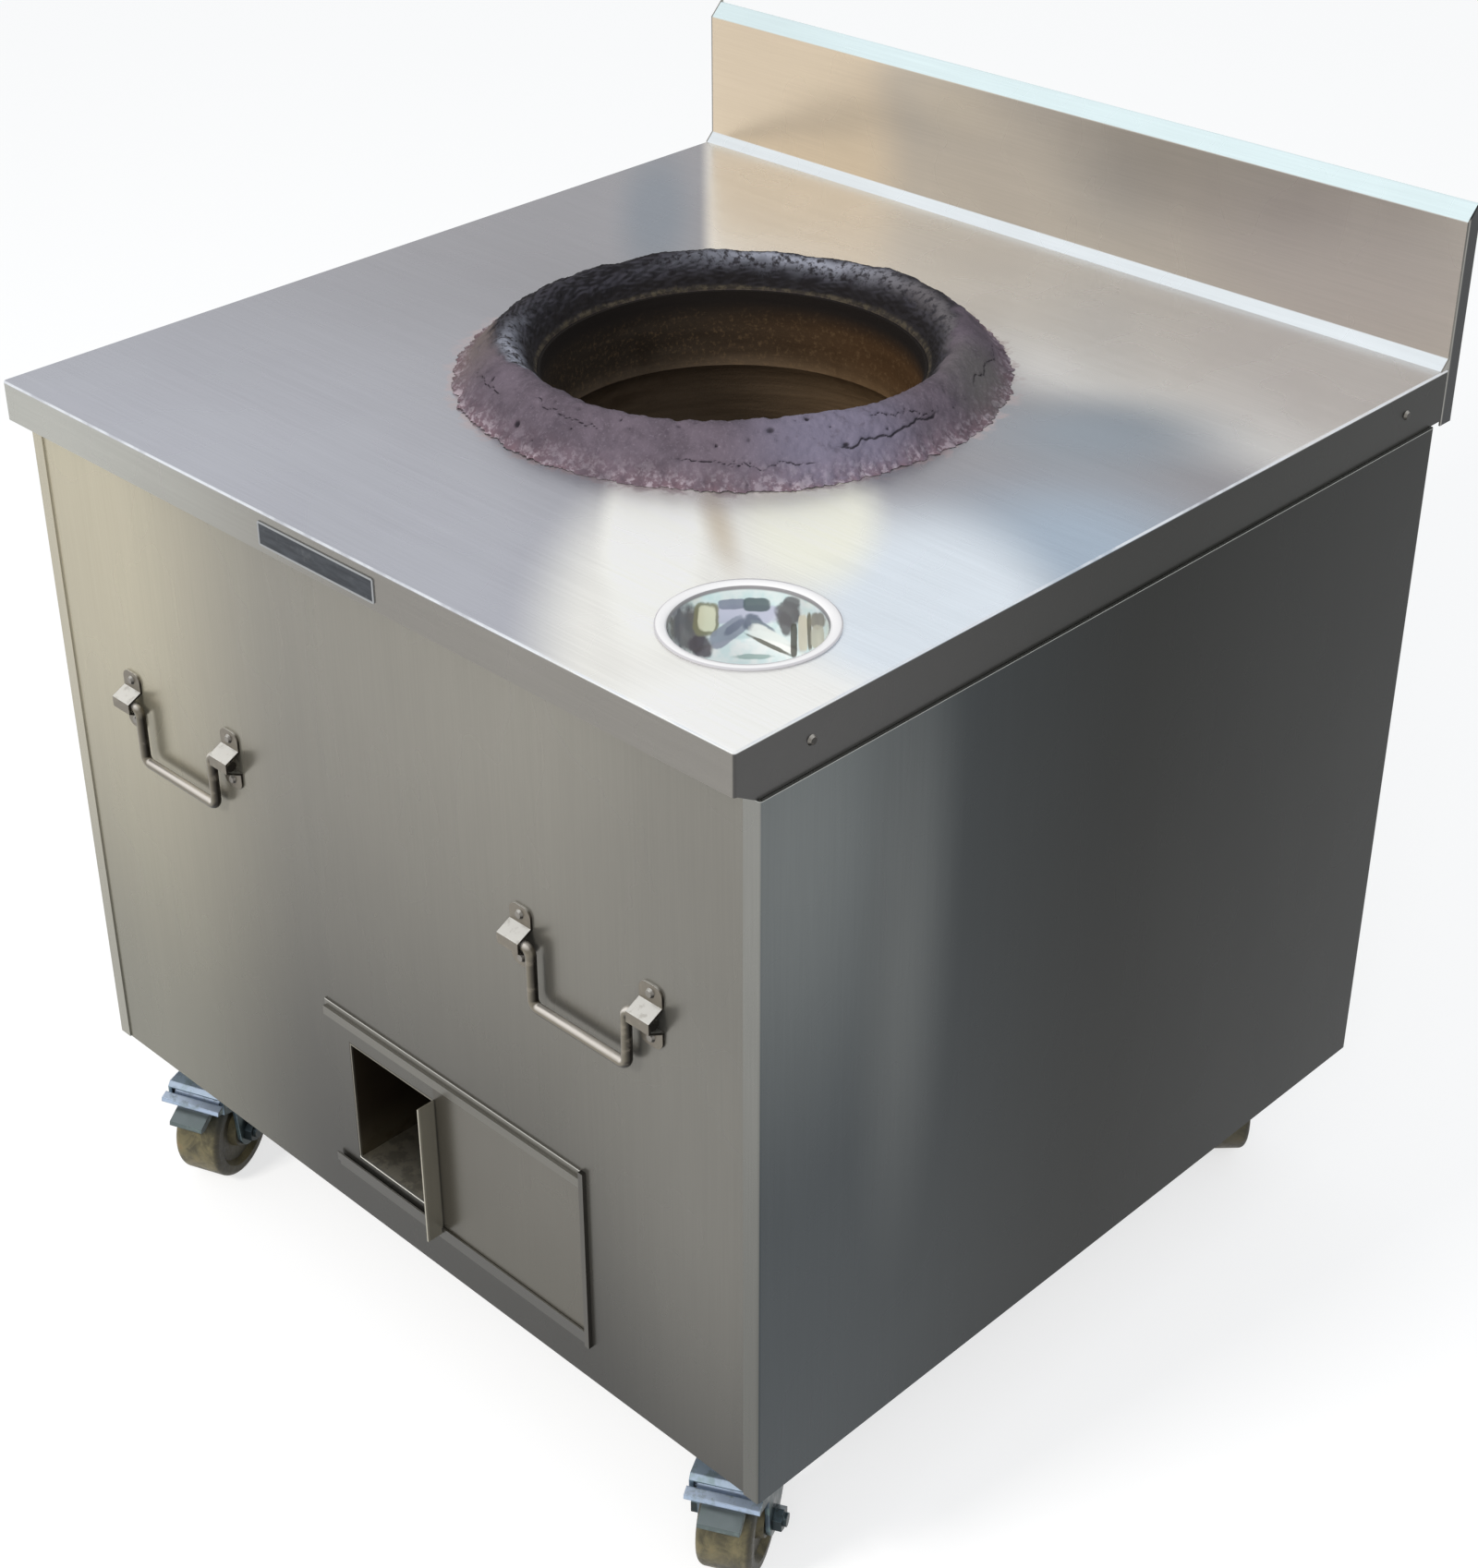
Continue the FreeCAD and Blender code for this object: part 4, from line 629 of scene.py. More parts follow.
def dress_vent(settings):
    """The door and its pull a little paler than the front, with painted shade and highlights on the pull, rails with
    painted highlights, and a sooty sleeve with painted light at its mouth.
    """
    low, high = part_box("vent_door")
    door = steel(
        "Door steel",
        lambda f: f.mix(f.ramp("Z", low.z, high.z), srgb(88, 85, 77), srgb(99, 96, 89)),
        [
            # Painted shade on the pull and its painted shadow on the door beside it.
            (lambda f: f.ramp("X", low.x + 0.034, low.x + 0.006), srgb(74, 71, 64)),
            # The pull paler towards its outer edge and bright along it, as painted highlights.
            (lambda f: f.ramp("Y", low.y + 0.0180, low.y + 0.0160), srgb(142, 137, 124)),
            (lambda f: f.ramp("Y", low.y + 0.0026, low.y + 0.0008), srgb(168, 164, 150)),
        ],
        settings,
        "Z",
        metal=0.6,
    )
    paint(door, "vent_door")
    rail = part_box("vent_rail_top")[1].z
    # Painted shade on the lower rail, painted highlights on the upward faces and along the top rail's upper edge.
    rails = steel(
        "Rail steel",
        lambda f: f.mix(f.ramp("Z", 0.20, 0.34), srgb(92, 91, 88), srgb(116, 114, 108)),
        [
            (lambda f: f.ease(f.facing((0, -0.4, 1)), 0.6, 0.9), srgb(196, 194, 188)),
            (lambda f: f.ramp("Z", rail - 0.0016, rail - 0.0008), srgb(186, 184, 178)),
        ],
        settings,
        "X",
        0.3,
    )
    paint(rails, "vent_rail_top", "vent_rail_bottom")
    paint(steel("Stop steel", srgb(92, 90, 86), [], settings, "Z"), "vent_end_stop")
    duct = steel(
        "Sooty sleeve",
        lambda f: f.mix(f.ramp("Z", 0.205, 0.250), srgb(112, 104, 88), srgb(76, 67, 55)),
        [
            # Upward faces: painted light at the sleeve's mouth, soot and painted shade further in.
            (lambda f: f.ease(f.facing((0, 0, 1)), 0.6, 0.9), sooty_floor_painted_light),
            (lambda f: f.ease(f.noise(46.0, 5.0, 0.7), 0.48, 0.62, 0, 0.35), srgb(84, 74, 58)),
            # The cut edge in the front, with its painted highlight along the bottom.
            (lambda f: f.ramp("Y", FRONT + 0.0025, FRONT + 0.0007), sleeve_edge),
        ],
        settings,
        "Y",
        0.5,
    )
    paint(duct, "vent_duct")


# Frame, floor plate and the oven's hidden inside


def dress_frame():
    """Brushed-on dark primer with rust showing through where it is thin."""
    finish = Finish("Primed angle iron", roughness=0.62)
    patch = finish.ease(finish.noise(38.0, 6.0, 0.68), 0.56, 0.70)
    brush = finish.noise(90.0, 3.0, 0.6, (8, 1, 1))
    primer = finish.mix(finish.ease(brush, 0.3, 0.7), srgb(58, 58, 60), srgb(82, 82, 84))
    finish.colour(finish.mix(patch, primer, srgb(104, 66, 44)))
    finish.normal(finish.bump(brush, 0.0002, 0.5, finish.bump(patch, 0.0003, 0.6)))
    frame_nodes = [n for n in NODES if n.startswith(("base_rail", "corner_post", "top_rail"))]
    paint(finish.material, *frame_nodes, "bottom_plate")


def dress_oven():
    """Fired clay, darker near the mouth, paler deeper down and to the right as painted light, with wool, cast
    refractory and a scaled grate behind it.
    """
    pot = Finish("Fired clay", roughness=0.86, specular=0.2)
    coils = pot.noise(26.0, 4.0, 0.6, (3, 3, 0.35))
    grit = pot.noise(240.0, 4.0, 0.7)
    across = pot.calc("ADD", pot.axis("X"), pot.calc("MULTIPLY", pot.axis("Y"), 0.4))
    # Paler deeper down and browner to the right: painted light where the lamps hardly reach the pot's wall, with
    # painted shade to the left.
    upper_clay = pot.mix(pot.ease(across, -0.16, 0.16), srgb(50, 43, 36), srgb(75, 54, 34))
    deep_clay_painted_light = pot.mix(pot.ease(across, -0.16, 0.16), srgb(128, 111, 93), srgb(136, 110, 80))
    clay = pot.mix(pot.ramp("Z", 0.800, 0.742), upper_clay, deep_clay_painted_light)
    clay = pot.mix(pot.ease(coils, 0.4, 0.66, 0, 0.25), clay, srgb(96, 76, 56), "MULTIPLY")
    clay = pot.mix(pot.ease(grit, 0.50, 0.72, 0, 0.3), clay, srgb(128, 104, 76))
    smoke = pot.ease(pot.noise(9.0, 5.0, 0.65, (1, 1, 2), (4, 4, 4)), 0.52, 0.66, 0, 0.4)
    clay = pot.mix(smoke, clay, srgb(150, 132, 112), "MULTIPLY")
    # Darker near the mouth.
    clay = pot.mix(pot.ramp("Z", 0.815, 0.838), clay, srgb(30, 26, 24))
    pot.colour(clay)
    pot.normal(pot.bump(grit, 0.0006, 0.5, pot.bump(coils, 0.002, 0.5)))
    paint(pot.material, "clay_pot")

    wool = Finish("Mineral wool", roughness=0.95, specular=0.1)
    fibre = wool.noise(180.0, 5.0, 0.75, (1, 1, 6), warp=1.5)
    wool.colour(wool.mix(wool.ease(fibre, 0.35, 0.65), srgb(196, 188, 160), srgb(226, 220, 204)))
    wool.normal(wool.bump(fibre, 0.002, 0.8))
    paint(wool.material, "insulation_jacket")

    cast = Finish("Cast refractory", roughness=0.9, specular=0.2)
    stones = cast.cells(130.0)
    ash = cast.ease(cast.noise(22.0, 5.0, 0.7), 0.42, 0.62)
    body = cast.mix(cast.ease(stones, 0.1, 0.5), srgb(128, 112, 98), srgb(104, 90, 78))
    cast.colour(cast.mix(ash, body, srgb(66, 58, 52)))
    cast.normal(cast.bump(stones, 0.0008, 0.6))
    paint(cast.material, "hearth_block")

    iron = Finish("Scaled cast iron", metal=0.6, roughness=0.7)
    scale = iron.noise(60.0, 6.0, 0.7)
    rust = iron.mix(iron.ease(scale, 0.42, 0.6), srgb(54, 50, 48), srgb(98, 66, 46))
    iron.colour(iron.mix(iron.ease(iron.noise(18.0), 0.5, 0.7, 0, 0.8), rust, srgb(150, 146, 140)))
    iron.normal(iron.bump(scale, 0.0008, 0.7))
    paint(iron.material, "fire_grate")


# Small metal


def dress_small_metal():
    """Straps, rods, screws, zinc-plated casters, and the bare plate on the front edge. The small metal takes painted
    shade and highlights by facing.
    """
    lug = Finish("Strap steel", metal=0.8, roughness=0.36)
    # Painted shade and highlight by facing.
    shade = lug.lit(srgb(44, 40, 36), srgb(118, 112, 102), srgb(238, 236, 230))
    wear = lug.noise(160.0, 4.0, 0.6)
    lug.colour(lug.mix(lug.ease(wear, 0.52, 0.7, 0, 0.35), shade, srgb(150, 142, 128)))
    lug.normal(lug.bump(wear, 0.0001, 0.4, lug.softened(0.0008)))
    paint(lug.material, *[n for n in NODES if n.startswith("handle_lug")])

    rod = Finish("Polished rod", metal=0.8, roughness=0.3)
    # Painted shade and highlight by facing.
    shade = rod.lit(srgb(40, 37, 33), srgb(116, 110, 98), srgb(240, 234, 226))
    wear = rod.noise(90.0, 4.0, 0.6, (6, 1, 1))
    rod.colour(rod.mix(rod.ease(wear, 0.52, 0.7, 0, 0.25), shade, srgb(168, 158, 144)))
    paint(rod.material, "bail_left", "bail_right")

    screw = Finish("Screw heads", metal=0.9, roughness=0.32)
    # Painted shade and highlight by facing.
    shade = screw.lit(srgb(54, 52, 50), srgb(132, 128, 122), srgb(214, 212, 206))
    screw.colour(screw.mix(screw.ease(screw.noise(500.0), 0.5, 0.7, 0, 0.4), shade, srgb(90, 84, 76)))
    paint(screw.material, "flange_screws", "lug_screws")

    zinc = Finish("Zinc plate", metal=0.8, roughness=0.34)
    cloud = zinc.noise(60.0, 4.0, 0.6)
    # Painted shade and highlight by facing.
    tone = zinc.lit(srgb(38, 48, 52), srgb(138, 158, 176), srgb(214, 230, 250))
    tone = zinc.mix(zinc.ease(cloud, 0.48, 0.66, 0, 0.55), tone, srgb(138, 162, 154))
    smudge = zinc.noise(24.0, 4.0, 0.6, (1, 1, 1), (9, 1, 4))
    tone = zinc.mix(zinc.ease(smudge, 0.56, 0.7, 0, 0.5), tone, srgb(74, 86, 88))
    # Painted shade on faces towards the right.
    shaded = zinc.mix(zinc.ease(cloud, 0.4, 0.66), srgb(40, 50, 52), srgb(66, 78, 80))
    tone = zinc.mix(zinc.ease(zinc.facing((1.0, 0.3, -0.1)), 0.25, 0.7, 0, 0.92), tone, shaded)
    zinc.colour(tone)
    zinc.roughness(zinc.ease(cloud, 0.3, 0.7, 0.26, 0.46))
    zinc.normal(zinc.bump(cloud, 0.0003, 0.4, zinc.softened(0.0015)))
    paint(zinc.material, *[n for n in NODES if n.startswith(("caster_plate", "caster_fork", "caster_bolts"))])

    oiled = Finish("Oiled axle bolt", metal=0.8, roughness=0.36)
    grime = oiled.noise(110.0, 4.0, 0.65)
    # Painted shade and highlight by facing.
    tone = oiled.lit(srgb(28, 36, 38), srgb(54, 64, 68), srgb(112, 128, 136))
    oiled.colour(oiled.mix(oiled.ease(grime, 0.5, 0.7, 0, 0.6), tone, srgb(62, 60, 50)))
    oiled.normal(oiled.softened(0.0008))
    paint(oiled.material, *["caster_axle_" + corner for corner in CORNERS])

    pedal = Finish("Grey zinc pedal", metal=0.8, roughness=0.38)
    worn = pedal.noise(70.0, 5.0, 0.65)
    # Painted shade and highlight by facing.
    tone = pedal.lit(srgb(52, 60, 62), srgb(166, 182, 204), srgb(214, 230, 252))
    # The lower lip in painted shade under the pedal's top.
    shaded_lip = pedal.lit(srgb(60, 66, 66), srgb(96, 106, 106), srgb(124, 134, 136))
    tone = pedal.mix(pedal.ramp("Z", 0.0985, 0.0960), tone, shaded_lip)
    pedal.colour(pedal.mix(pedal.ease(worn, 0.48, 0.68, 0, 0.6), tone, srgb(128, 142, 140)))
    pedal.roughness(pedal.ease(worn, 0.3, 0.7, 0.3, 0.5))
    pedal.normal(pedal.softened(0.0015))
    paint(pedal.material, "brake_pedal_front_left", "brake_pedal_front_right")

    tread = Finish("Moulded wheel", roughness=0.5, specular=0.35)
    mottle = tread.noise(46.0, 5.0, 0.6, warp=0.6)
    dust = tread.noise(260.0, 4.0, 0.7)
    shade = tread.mix(tread.ease(mottle, 0.35, 0.65), srgb(68, 64, 48), srgb(112, 104, 76))
    shade = tread.mix(tread.ease(mottle, 0.60, 0.72, 0, 0.5), shade, srgb(130, 106, 74))
    # Painted shade on the side facing right and on the wheel's top, under the fork.
    shade = tread.mix(tread.ease(tread.facing((1.0, 0.25, -0.2)), 0.15, 0.8, 0, 0.8), shade, srgb(42, 39, 32))
    shade = tread.mix(tread.ramp("Z", 0.068, 0.092), shade, srgb(40, 44, 42))
    tread.colour(tread.mix(tread.ease(dust, 0.55, 0.75, 0, 0.4), shade, srgb(120, 116, 98)))
    tread.roughness(tread.ease(dust, 0.3, 0.7, 0.4, 0.62))
    tread.normal(tread.bump(mottle, 0.0004, 0.4))
    paint(tread.material, *["caster_wheel_" + corner for corner in CORNERS])

    plate = Finish("Etched dark plate", metal=0.7, roughness=0.34)
    low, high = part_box("nameplate")
    etch = plate.noise(300.0, 3.0, 0.6, (6, 1, 1))
    wear = plate.noise(60.0, 5.0, 0.7)
    shade = plate.mix(plate.ease(etch, 0.3, 0.7), srgb(40, 44, 50), srgb(58, 62, 68))
    shade = plate.mix(plate.ease(wear, 0.55, 0.72, 0, 0.4), shade, srgb(96, 98, 100))
    middle_x, middle_z = (low.x + high.x) / 2, (low.z + high.z) / 2
    across = plate.calc("ABSOLUTE", plate.calc("SUBTRACT", plate.axis("X"), middle_x))
    upright = plate.calc("ABSOLUTE", plate.calc("SUBTRACT", plate.axis("Z"), middle_z))
    border_x, border_z = (high.x - low.x) / 2, (high.z - low.z) / 2
    edge = plate.calc(
        "MAXIMUM",
        plate.ease(across, border_x - 0.0022, border_x - 0.0014),
        plate.ease(upright, border_z - 0.0022, border_z - 0.0014),
    )
    plate.colour(plate.mix(edge, shade, srgb(150, 152, 154)))
    paint(plate.material, "nameplate")


# Clay collar


def along_line(points, count, blur=0.0):
    """count points spaced evenly along a polyline, then each coordinate smoothed by a Gaussian
    of blur samples, with the ends held."""
    points = np.asarray(points, float)
    gone = np.concatenate([[0], np.cumsum(np.linalg.norm(np.diff(points, axis=0), axis=1))])
    at = np.linspace(0, gone[-1], count)
    line = np.stack([np.interp(at, gone, points[:, i]) for i in range(2)], -1)
    if blur:
        reach = int(blur * 3)
        weight = np.exp(-0.5 * (np.arange(-reach, reach + 1) / blur) ** 2)
        weight /= weight.sum()
        lead = 2 * line[0] - line[reach:0:-1]
        tail = 2 * line[-1] - line[-2 : -reach - 2 : -1]
        long = np.concatenate([lead, line, tail])
        line = np.stack([np.convolve(long[:, i], weight, "valid") for i in range(2)], -1)
    return line


def ripples(rng, angle, along, bands):
    """Sum over random waves of size cos(k angle + m along + phase) / sqrt(count). Each band is
    (lowest k, highest k, largest m, count, size), so it closes on itself round the ring."""
    total = np.zeros(np.broadcast(angle, along).shape)
    for low, high, most, count, size in bands:
        turns = rng.integers(low, high + 1, count)
        rises = rng.uniform(-most, most, count)
        phase = rng.uniform(0, 2 * np.pi, count)
        strength = rng.uniform(0.5, 1.0, count) * size * np.sqrt(2 / count)
        waves = np.cos(turns[:, None, None] * angle + rises[:, None, None] * along + phase[:, None, None])
        total += np.tensordot(strength, waves, 1)
    return total


def bell(distance, width, power=2):
    return np.exp(-np.abs(distance / width) ** power)


COLLAR_PROFILE = [
    # radius and rise above the deck, in mm, from the skirt's feather edge over the crest to the lip
    (235, 0.4), (230.5, 3.0), (225.5, 7.0), (220.5, 12.4), (215, 18.4), (209, 24.4), (203, 29.4), (197.5, 32.4),
    (192, 33.2), (187, 31.8), (182, 28.4), (177.5, 23.8), (173, 18.4), (169, 12.8), (166.4, 9.4), (164.8, 8.0),
]
HIGH_SIDE = 312  # degrees round the ring to where its clay is heaped highest
COLLAR_BACK = [(164.6, 6.15), (192.4, 6.15), (192.4, 0.15), (229, 0.15)]


def build_collar(settings):
    """Hand-plastered ring. The profile is carried round the mouth, and each point moves along the
    profile's normal by lumps - pits - cracks. The skirt's radius also wanders, and the crest is
    heaped up on one side by heap cos(a - a0)^1.5 bell(r - r0)."""
    rng = np.random.default_rng(11)
    columns, rows, back_rows = 900, 82, 18
    line = along_line(COLLAR_PROFILE, rows, 1.6) / 1000
    angle = np.linspace(0, 2 * np.pi, columns, endpoint=False)[None, :]
    step = np.gradient(line, axis=0)
    step /= np.linalg.norm(step, axis=1, keepdims=True)
    normal = np.stack([step[:, 1], -step[:, 0]], -1)
    normal *= np.sign(normal[rows // 2, 1])
    run = np.concatenate([[0], np.cumsum(np.linalg.norm(np.diff(line, axis=0), axis=1))])[:, None]
    radius, rise = line[:, :1], line[:, 1:]
    skirt = np.clip((radius - 0.214) / 0.021, 0, 1) ** 1.5
    held = np.clip(run / 0.006, 0, 1) * np.clip((run[-1] - run) / 0.010, 0, 1)
    lumps = ripples(rng, angle, run, [(2, 7, 30, 14, 0.9), (8, 24, 140, 26, 0.55), (25, 70, 420, 40, 0.30)])
    crumbs = ripples(rng, angle, run, [(60, 150, 900, 46, 1.0), (150, 330, 1500, 46, 0.8)])
    height = settings.lumps * (lumps * 0.8 + crumbs * (0.12 + 0.30 * skirt))
    around = radius * angle
    deep = np.zeros_like(height)
    spots = [(math.radians(turn), where, size) for turn, where, size in COLLAR_HOLES]
    for _ in range(settings.pits):
        spots.append((rng.uniform(0, 2 * np.pi), rng.uniform(0.004, 0.082), rng.uniform(0.0007, 0.0017)))
    for spot, where, size in spots:
        apart = (np.abs(angle - spot) + np.pi) % (2 * np.pi) - np.pi
        gap = np.hypot(radius * apart, (run - where) * rng.uniform(0.8, 1.6))
        deep = np.maximum(deep, bell(gap, size, 3) * rng.uniform(0.5, 1.0))
    crack = np.zeros_like(height)
    for start, reach, low, high, wide in COLLAR_CRACKS:
        share = ((angle - math.radians(start)) % (2 * np.pi)) / math.radians(reach)
        wander = ripples(rng, angle * 1.0, 0 * run, [(14, 60, 0, 16, 0.0022), (60, 200, 0, 16, 0.0007)])
        gap = run - (low + (high - low) * np.clip(share, 0, 1) + wander)
        inside = np.clip(share * 8, 0, 1) * np.clip((1 - share) * 8, 0, 1) * (share < 1)
        crack = np.maximum(crack, bell(gap, wide) * inside)
    height = (height - 0.0024 * deep - 0.0016 * crack) * (0.25 + 0.75 * held)
    edge = [(3, 9, 0, 8, 0.35), (10, 40, 0, 20, 0.42), (41, 160, 0, 40, 0.42), (161, 400, 0, 40, 0.26)]
    wander = ripples(rng, angle, 0 * run, edge)
    spread = radius + normal[:, :1] * height + settings.ragged * skirt * wander
    lean = np.clip(np.cos(angle - math.radians(HIGH_SIDE)), 0, 1) ** 1.5
    heap = settings.heap * lean * bell(radius - 0.188, 0.020)
    spread = spread - 0.8 * heap
    lift = np.maximum(rise + normal[:, 1:] * height + heap, 0.0003)
    back = along_line(np.array(COLLAR_BACK) / 1000, back_rows)
    ones = np.ones_like(angle)
    back_radius, back_lift = back[:, :1] * ones, back[:, 1:] * ones
    all_radius = np.concatenate([spread, back_radius])
    all_lift = np.concatenate([lift, back_lift])
    points = np.stack([all_radius * np.cos(angle), all_radius * np.sin(angle), all_lift], -1).reshape(-1, 3)
    points += (MOUTH[0], MOUTH[1], DECK)
    shell = (points, quads(rows + back_rows, columns, closed=True))
    material = clay_material(settings)
    piece = build("Clay_collar", [shell], material, "body", ["mouth_collar"], 75.0)
    away = np.clip((np.cos(angle - math.radians(147)) + 0.30) / 0.85, 0, 1) ** 0.8
    smoky = ripples(rng, angle, run, [(2, 9, 60, 12, 0.6), (10, 60, 300, 30, 0.5)])
    soot = np.clip((0.182 + 0.038 * away + 0.0040 * smoky - radius) / 0.007, 0, 1)
    rings = 0.5 + 0.30 * ripples(rng, angle, run, [(0, 9, 700, 24, 0.5), (10, 90, 1700, 40, 0.9)])
    crest = bell(radius + 0.0022 * ripples(rng, angle, run, [(4, 40, 200, 24, 1.0)]) - 0.1870, 0.0075)
    # deep carries the pits and cracks, which the clay darkens as painted shade.
    marks = {"soot": soot, "deep": np.maximum(deep, crack), "skirt": skirt, "rings": rings, "crest": crest}
    unmarked = np.zeros((back_rows, columns))
    for label, values in marks.items():
        carry(piece, label, points, np.concatenate([values * ones, unmarked]).reshape(-1))


def carry(piece, label, points, values):
    """Stores one number for each point of a built piece, found again by its rounded place."""
    mesh = piece.data
    unique, first = np.unique(np.round(points, 7), axis=0, return_index=True)
    assert len(unique) == len(mesh.vertices)
    layer = mesh.attributes.new(label, "FLOAT", "POINT")
    layer.data.foreach_set("value", values[first].astype(np.float32))


COLLAR_HOLES = [
    # degrees round the ring, place along the profile and size, in metres
    (263, 0.020, 0.0036), (276, 0.049, 0.0044), (275, 0.064, 0.0030), (323, 0.046, 0.0042),
    (302, 0.050, 0.0026), (339, 0.029, 0.0034), (318, 0.040, 0.0024), (246, 0.036, 0.0026),
    (352, 0.044, 0.0028), (332, 0.052, 0.0024),
]
COLLAR_CRACKS = [
    # start and reach in degrees round the ring, start and end along the profile, half-width (metres)
    (335, 32, 0.027, 0.032, 0.0012), (300, 34, 0.026, 0.018, 0.0006), (345, 22, 0.050, 0.030, 0.0006),
    (262, 24, 0.044, 0.036, 0.0006), (20, 34, 0.034, 0.020, 0.0009), (232, 22, 0.022, 0.036, 0.0006),
    (70, 30, 0.030, 0.044, 0.0008), (110, 40, 0.026, 0.034, 0.0007), (196, 26, 0.030, 0.040, 0.0007),
]


def clay_material(settings):
    """Grey-mauve dried clay, pink and crumbly at the skirt, black with soot inside the crest, with a painted
    highlight on the crest's top and painted shade in its pits and cracks.
    """
    clay = Finish("Plastered clay", roughness=0.88, specular=0.2)

    def mark(name):
        return clay.put("Attribute", attribute_name=name).outputs["Fac"]

    def times(size):
        return (*[channel * size for channel in settings.clay], 1.0)

    grit = clay.noise(420.0, 5.0, 0.75)
    cloud = clay.noise(30.0, 5.0, 0.62, warp=0.6)
    fleck = clay.noise(150.0, 3.0, 0.7, centre=(5, 3, 1))
    patch = clay.noise(70.0, 4.0, 0.65, centre=(2, 8, 6))
    tone = clay.mix(clay.ease(cloud, 0.34, 0.66), times(0.72), times(1.10))
    brown = clay.pool((MOUTH[0] - 0.20, MOUTH[1] - 0.12, DECK), (0.14, 0.14, FAR), 0, 0.2)
    tone = clay.mix(brown, tone, srgb(106, 96, 94))
    pale = clay.pool((MOUTH[0] + 0.196, MOUTH[1] - 0.080, DECK), (0.10, 0.10, FAR), 0, 0.2)
    tone = clay.mix(clay.calc("MULTIPLY", pale, 0.8), tone, srgb(122, 117, 136))
    olive = clay.pool((MOUTH[0] + 0.205, MOUTH[1] + 0.105, DECK), (0.08, 0.08, FAR), 0, 0.2)
    tone = clay.mix(olive, tone, srgb(98, 94, 94))
    tone = clay.mix(clay.ease(patch, 0.54, 0.68, 0, 0.35), tone, srgb(70, 62, 72))
    tone = clay.mix(clay.ease(grit, 0.52, 0.75, 0, 0.5), tone, srgb(140, 130, 142))
    pink = clay.mix(clay.ease(fleck, 0.46, 0.62), srgb(116, 94, 102), srgb(178, 164, 172))
    spread = clay.ease(clay.noise(44.0, 4.0), 0.3, 0.62, 0.25, 0.85)
    tone = clay.mix(clay.calc("MULTIPLY", mark("skirt"), spread), tone, pink)
    smoke = clay.mix(clay.ease(mark("rings"), 0.30, 0.90, 0, 0.6), srgb(30, 28, 31), srgb(70, 68, 76))
    # The crest's top, kept out of the soot: a painted highlight, paler to the left and darker to the right.
    left = clay.ease(clay.axis("X"), 0.06, -0.08)
    crest_highlight = clay.mix(left, srgb(99, 95, 98), srgb(148, 150, 162))
    crest_highlight = clay.mix(clay.ease(fleck, 0.36, 0.54), srgb(58, 56, 60), crest_highlight)
    crest_highlight_mask = clay.calc("MULTIPLY", mark("crest"), clay.ramp("X", -0.185, -0.105))
    smoke = clay.mix(crest_highlight_mask, smoke, crest_highlight)
    tone = clay.mix(mark("soot"), tone, smoke)
    near = clay.pool((MOUTH[0], MOUTH[1], DECK), (0.1775, 0.1775, FAR), 0, 0.96)
    tone = clay.mix(clay.calc("MULTIPLY", near, 0.75), tone, srgb(28, 25, 25))
    ash = clay.pool((MOUTH[0], MOUTH[1], DECK), (0.1680, 0.1680, FAR), 0, 0.985)
    ash = clay.calc("MULTIPLY", ash, clay.ease(fleck, 0.42, 0.62, 0.2, 0.7))
    tone = clay.mix(ash, tone, srgb(88, 80, 66))
    # Pits and cracks darkened: painted shade in the hollows.
    tone = clay.mix(clay.ease(mark("deep"), 0.25, 0.9, 0, 0.9), tone, srgb(30, 27, 33))
    clay.colour(tone)
    clay.normal(clay.bump(grit, 0.0006, 0.6, clay.bump(fleck, 0.0010, 0.5)))
    return clay.material


# Water bowl


def build_bowl():
    """Spun bowl: a rounded profile turned about its axis, with a rolled rim that lies on the deck."""
    outside = [(0, -0.0532), (0.0290, -0.0532), (0.0482, -0.0398), (0.0565, -0.0105), (0.0582, 0.0)]
    outside.append((0.0648, 0.0))
    rim = [(0.0660, 0.0001), (0.0663, 0.0012), (0.0650, 0.0022)]
    inside = [(0.0590, 0.0018), (0.0567, 0.0008), (0.0553, -0.0104), (0.0473, -0.0390), (0.0285, -0.0520)]
    inside.append((0, -0.0520))
    outer = along_line(outside, 60, 2.0)
    inner = along_line(inside, 90, 2.0)
    outer[0, 0] = inner[-1, 0] = 0.0
    profile = np.concatenate([outer, rim, inner])
    points, faces = turned(profile[:, 0], profile[:, 1], 224)
    points += (BOWL[0], BOWL[1], DECK)
    build("Bowl", [(points, faces)], bowl_material(), "water_bowl", ["water_bowl"], 50.0)


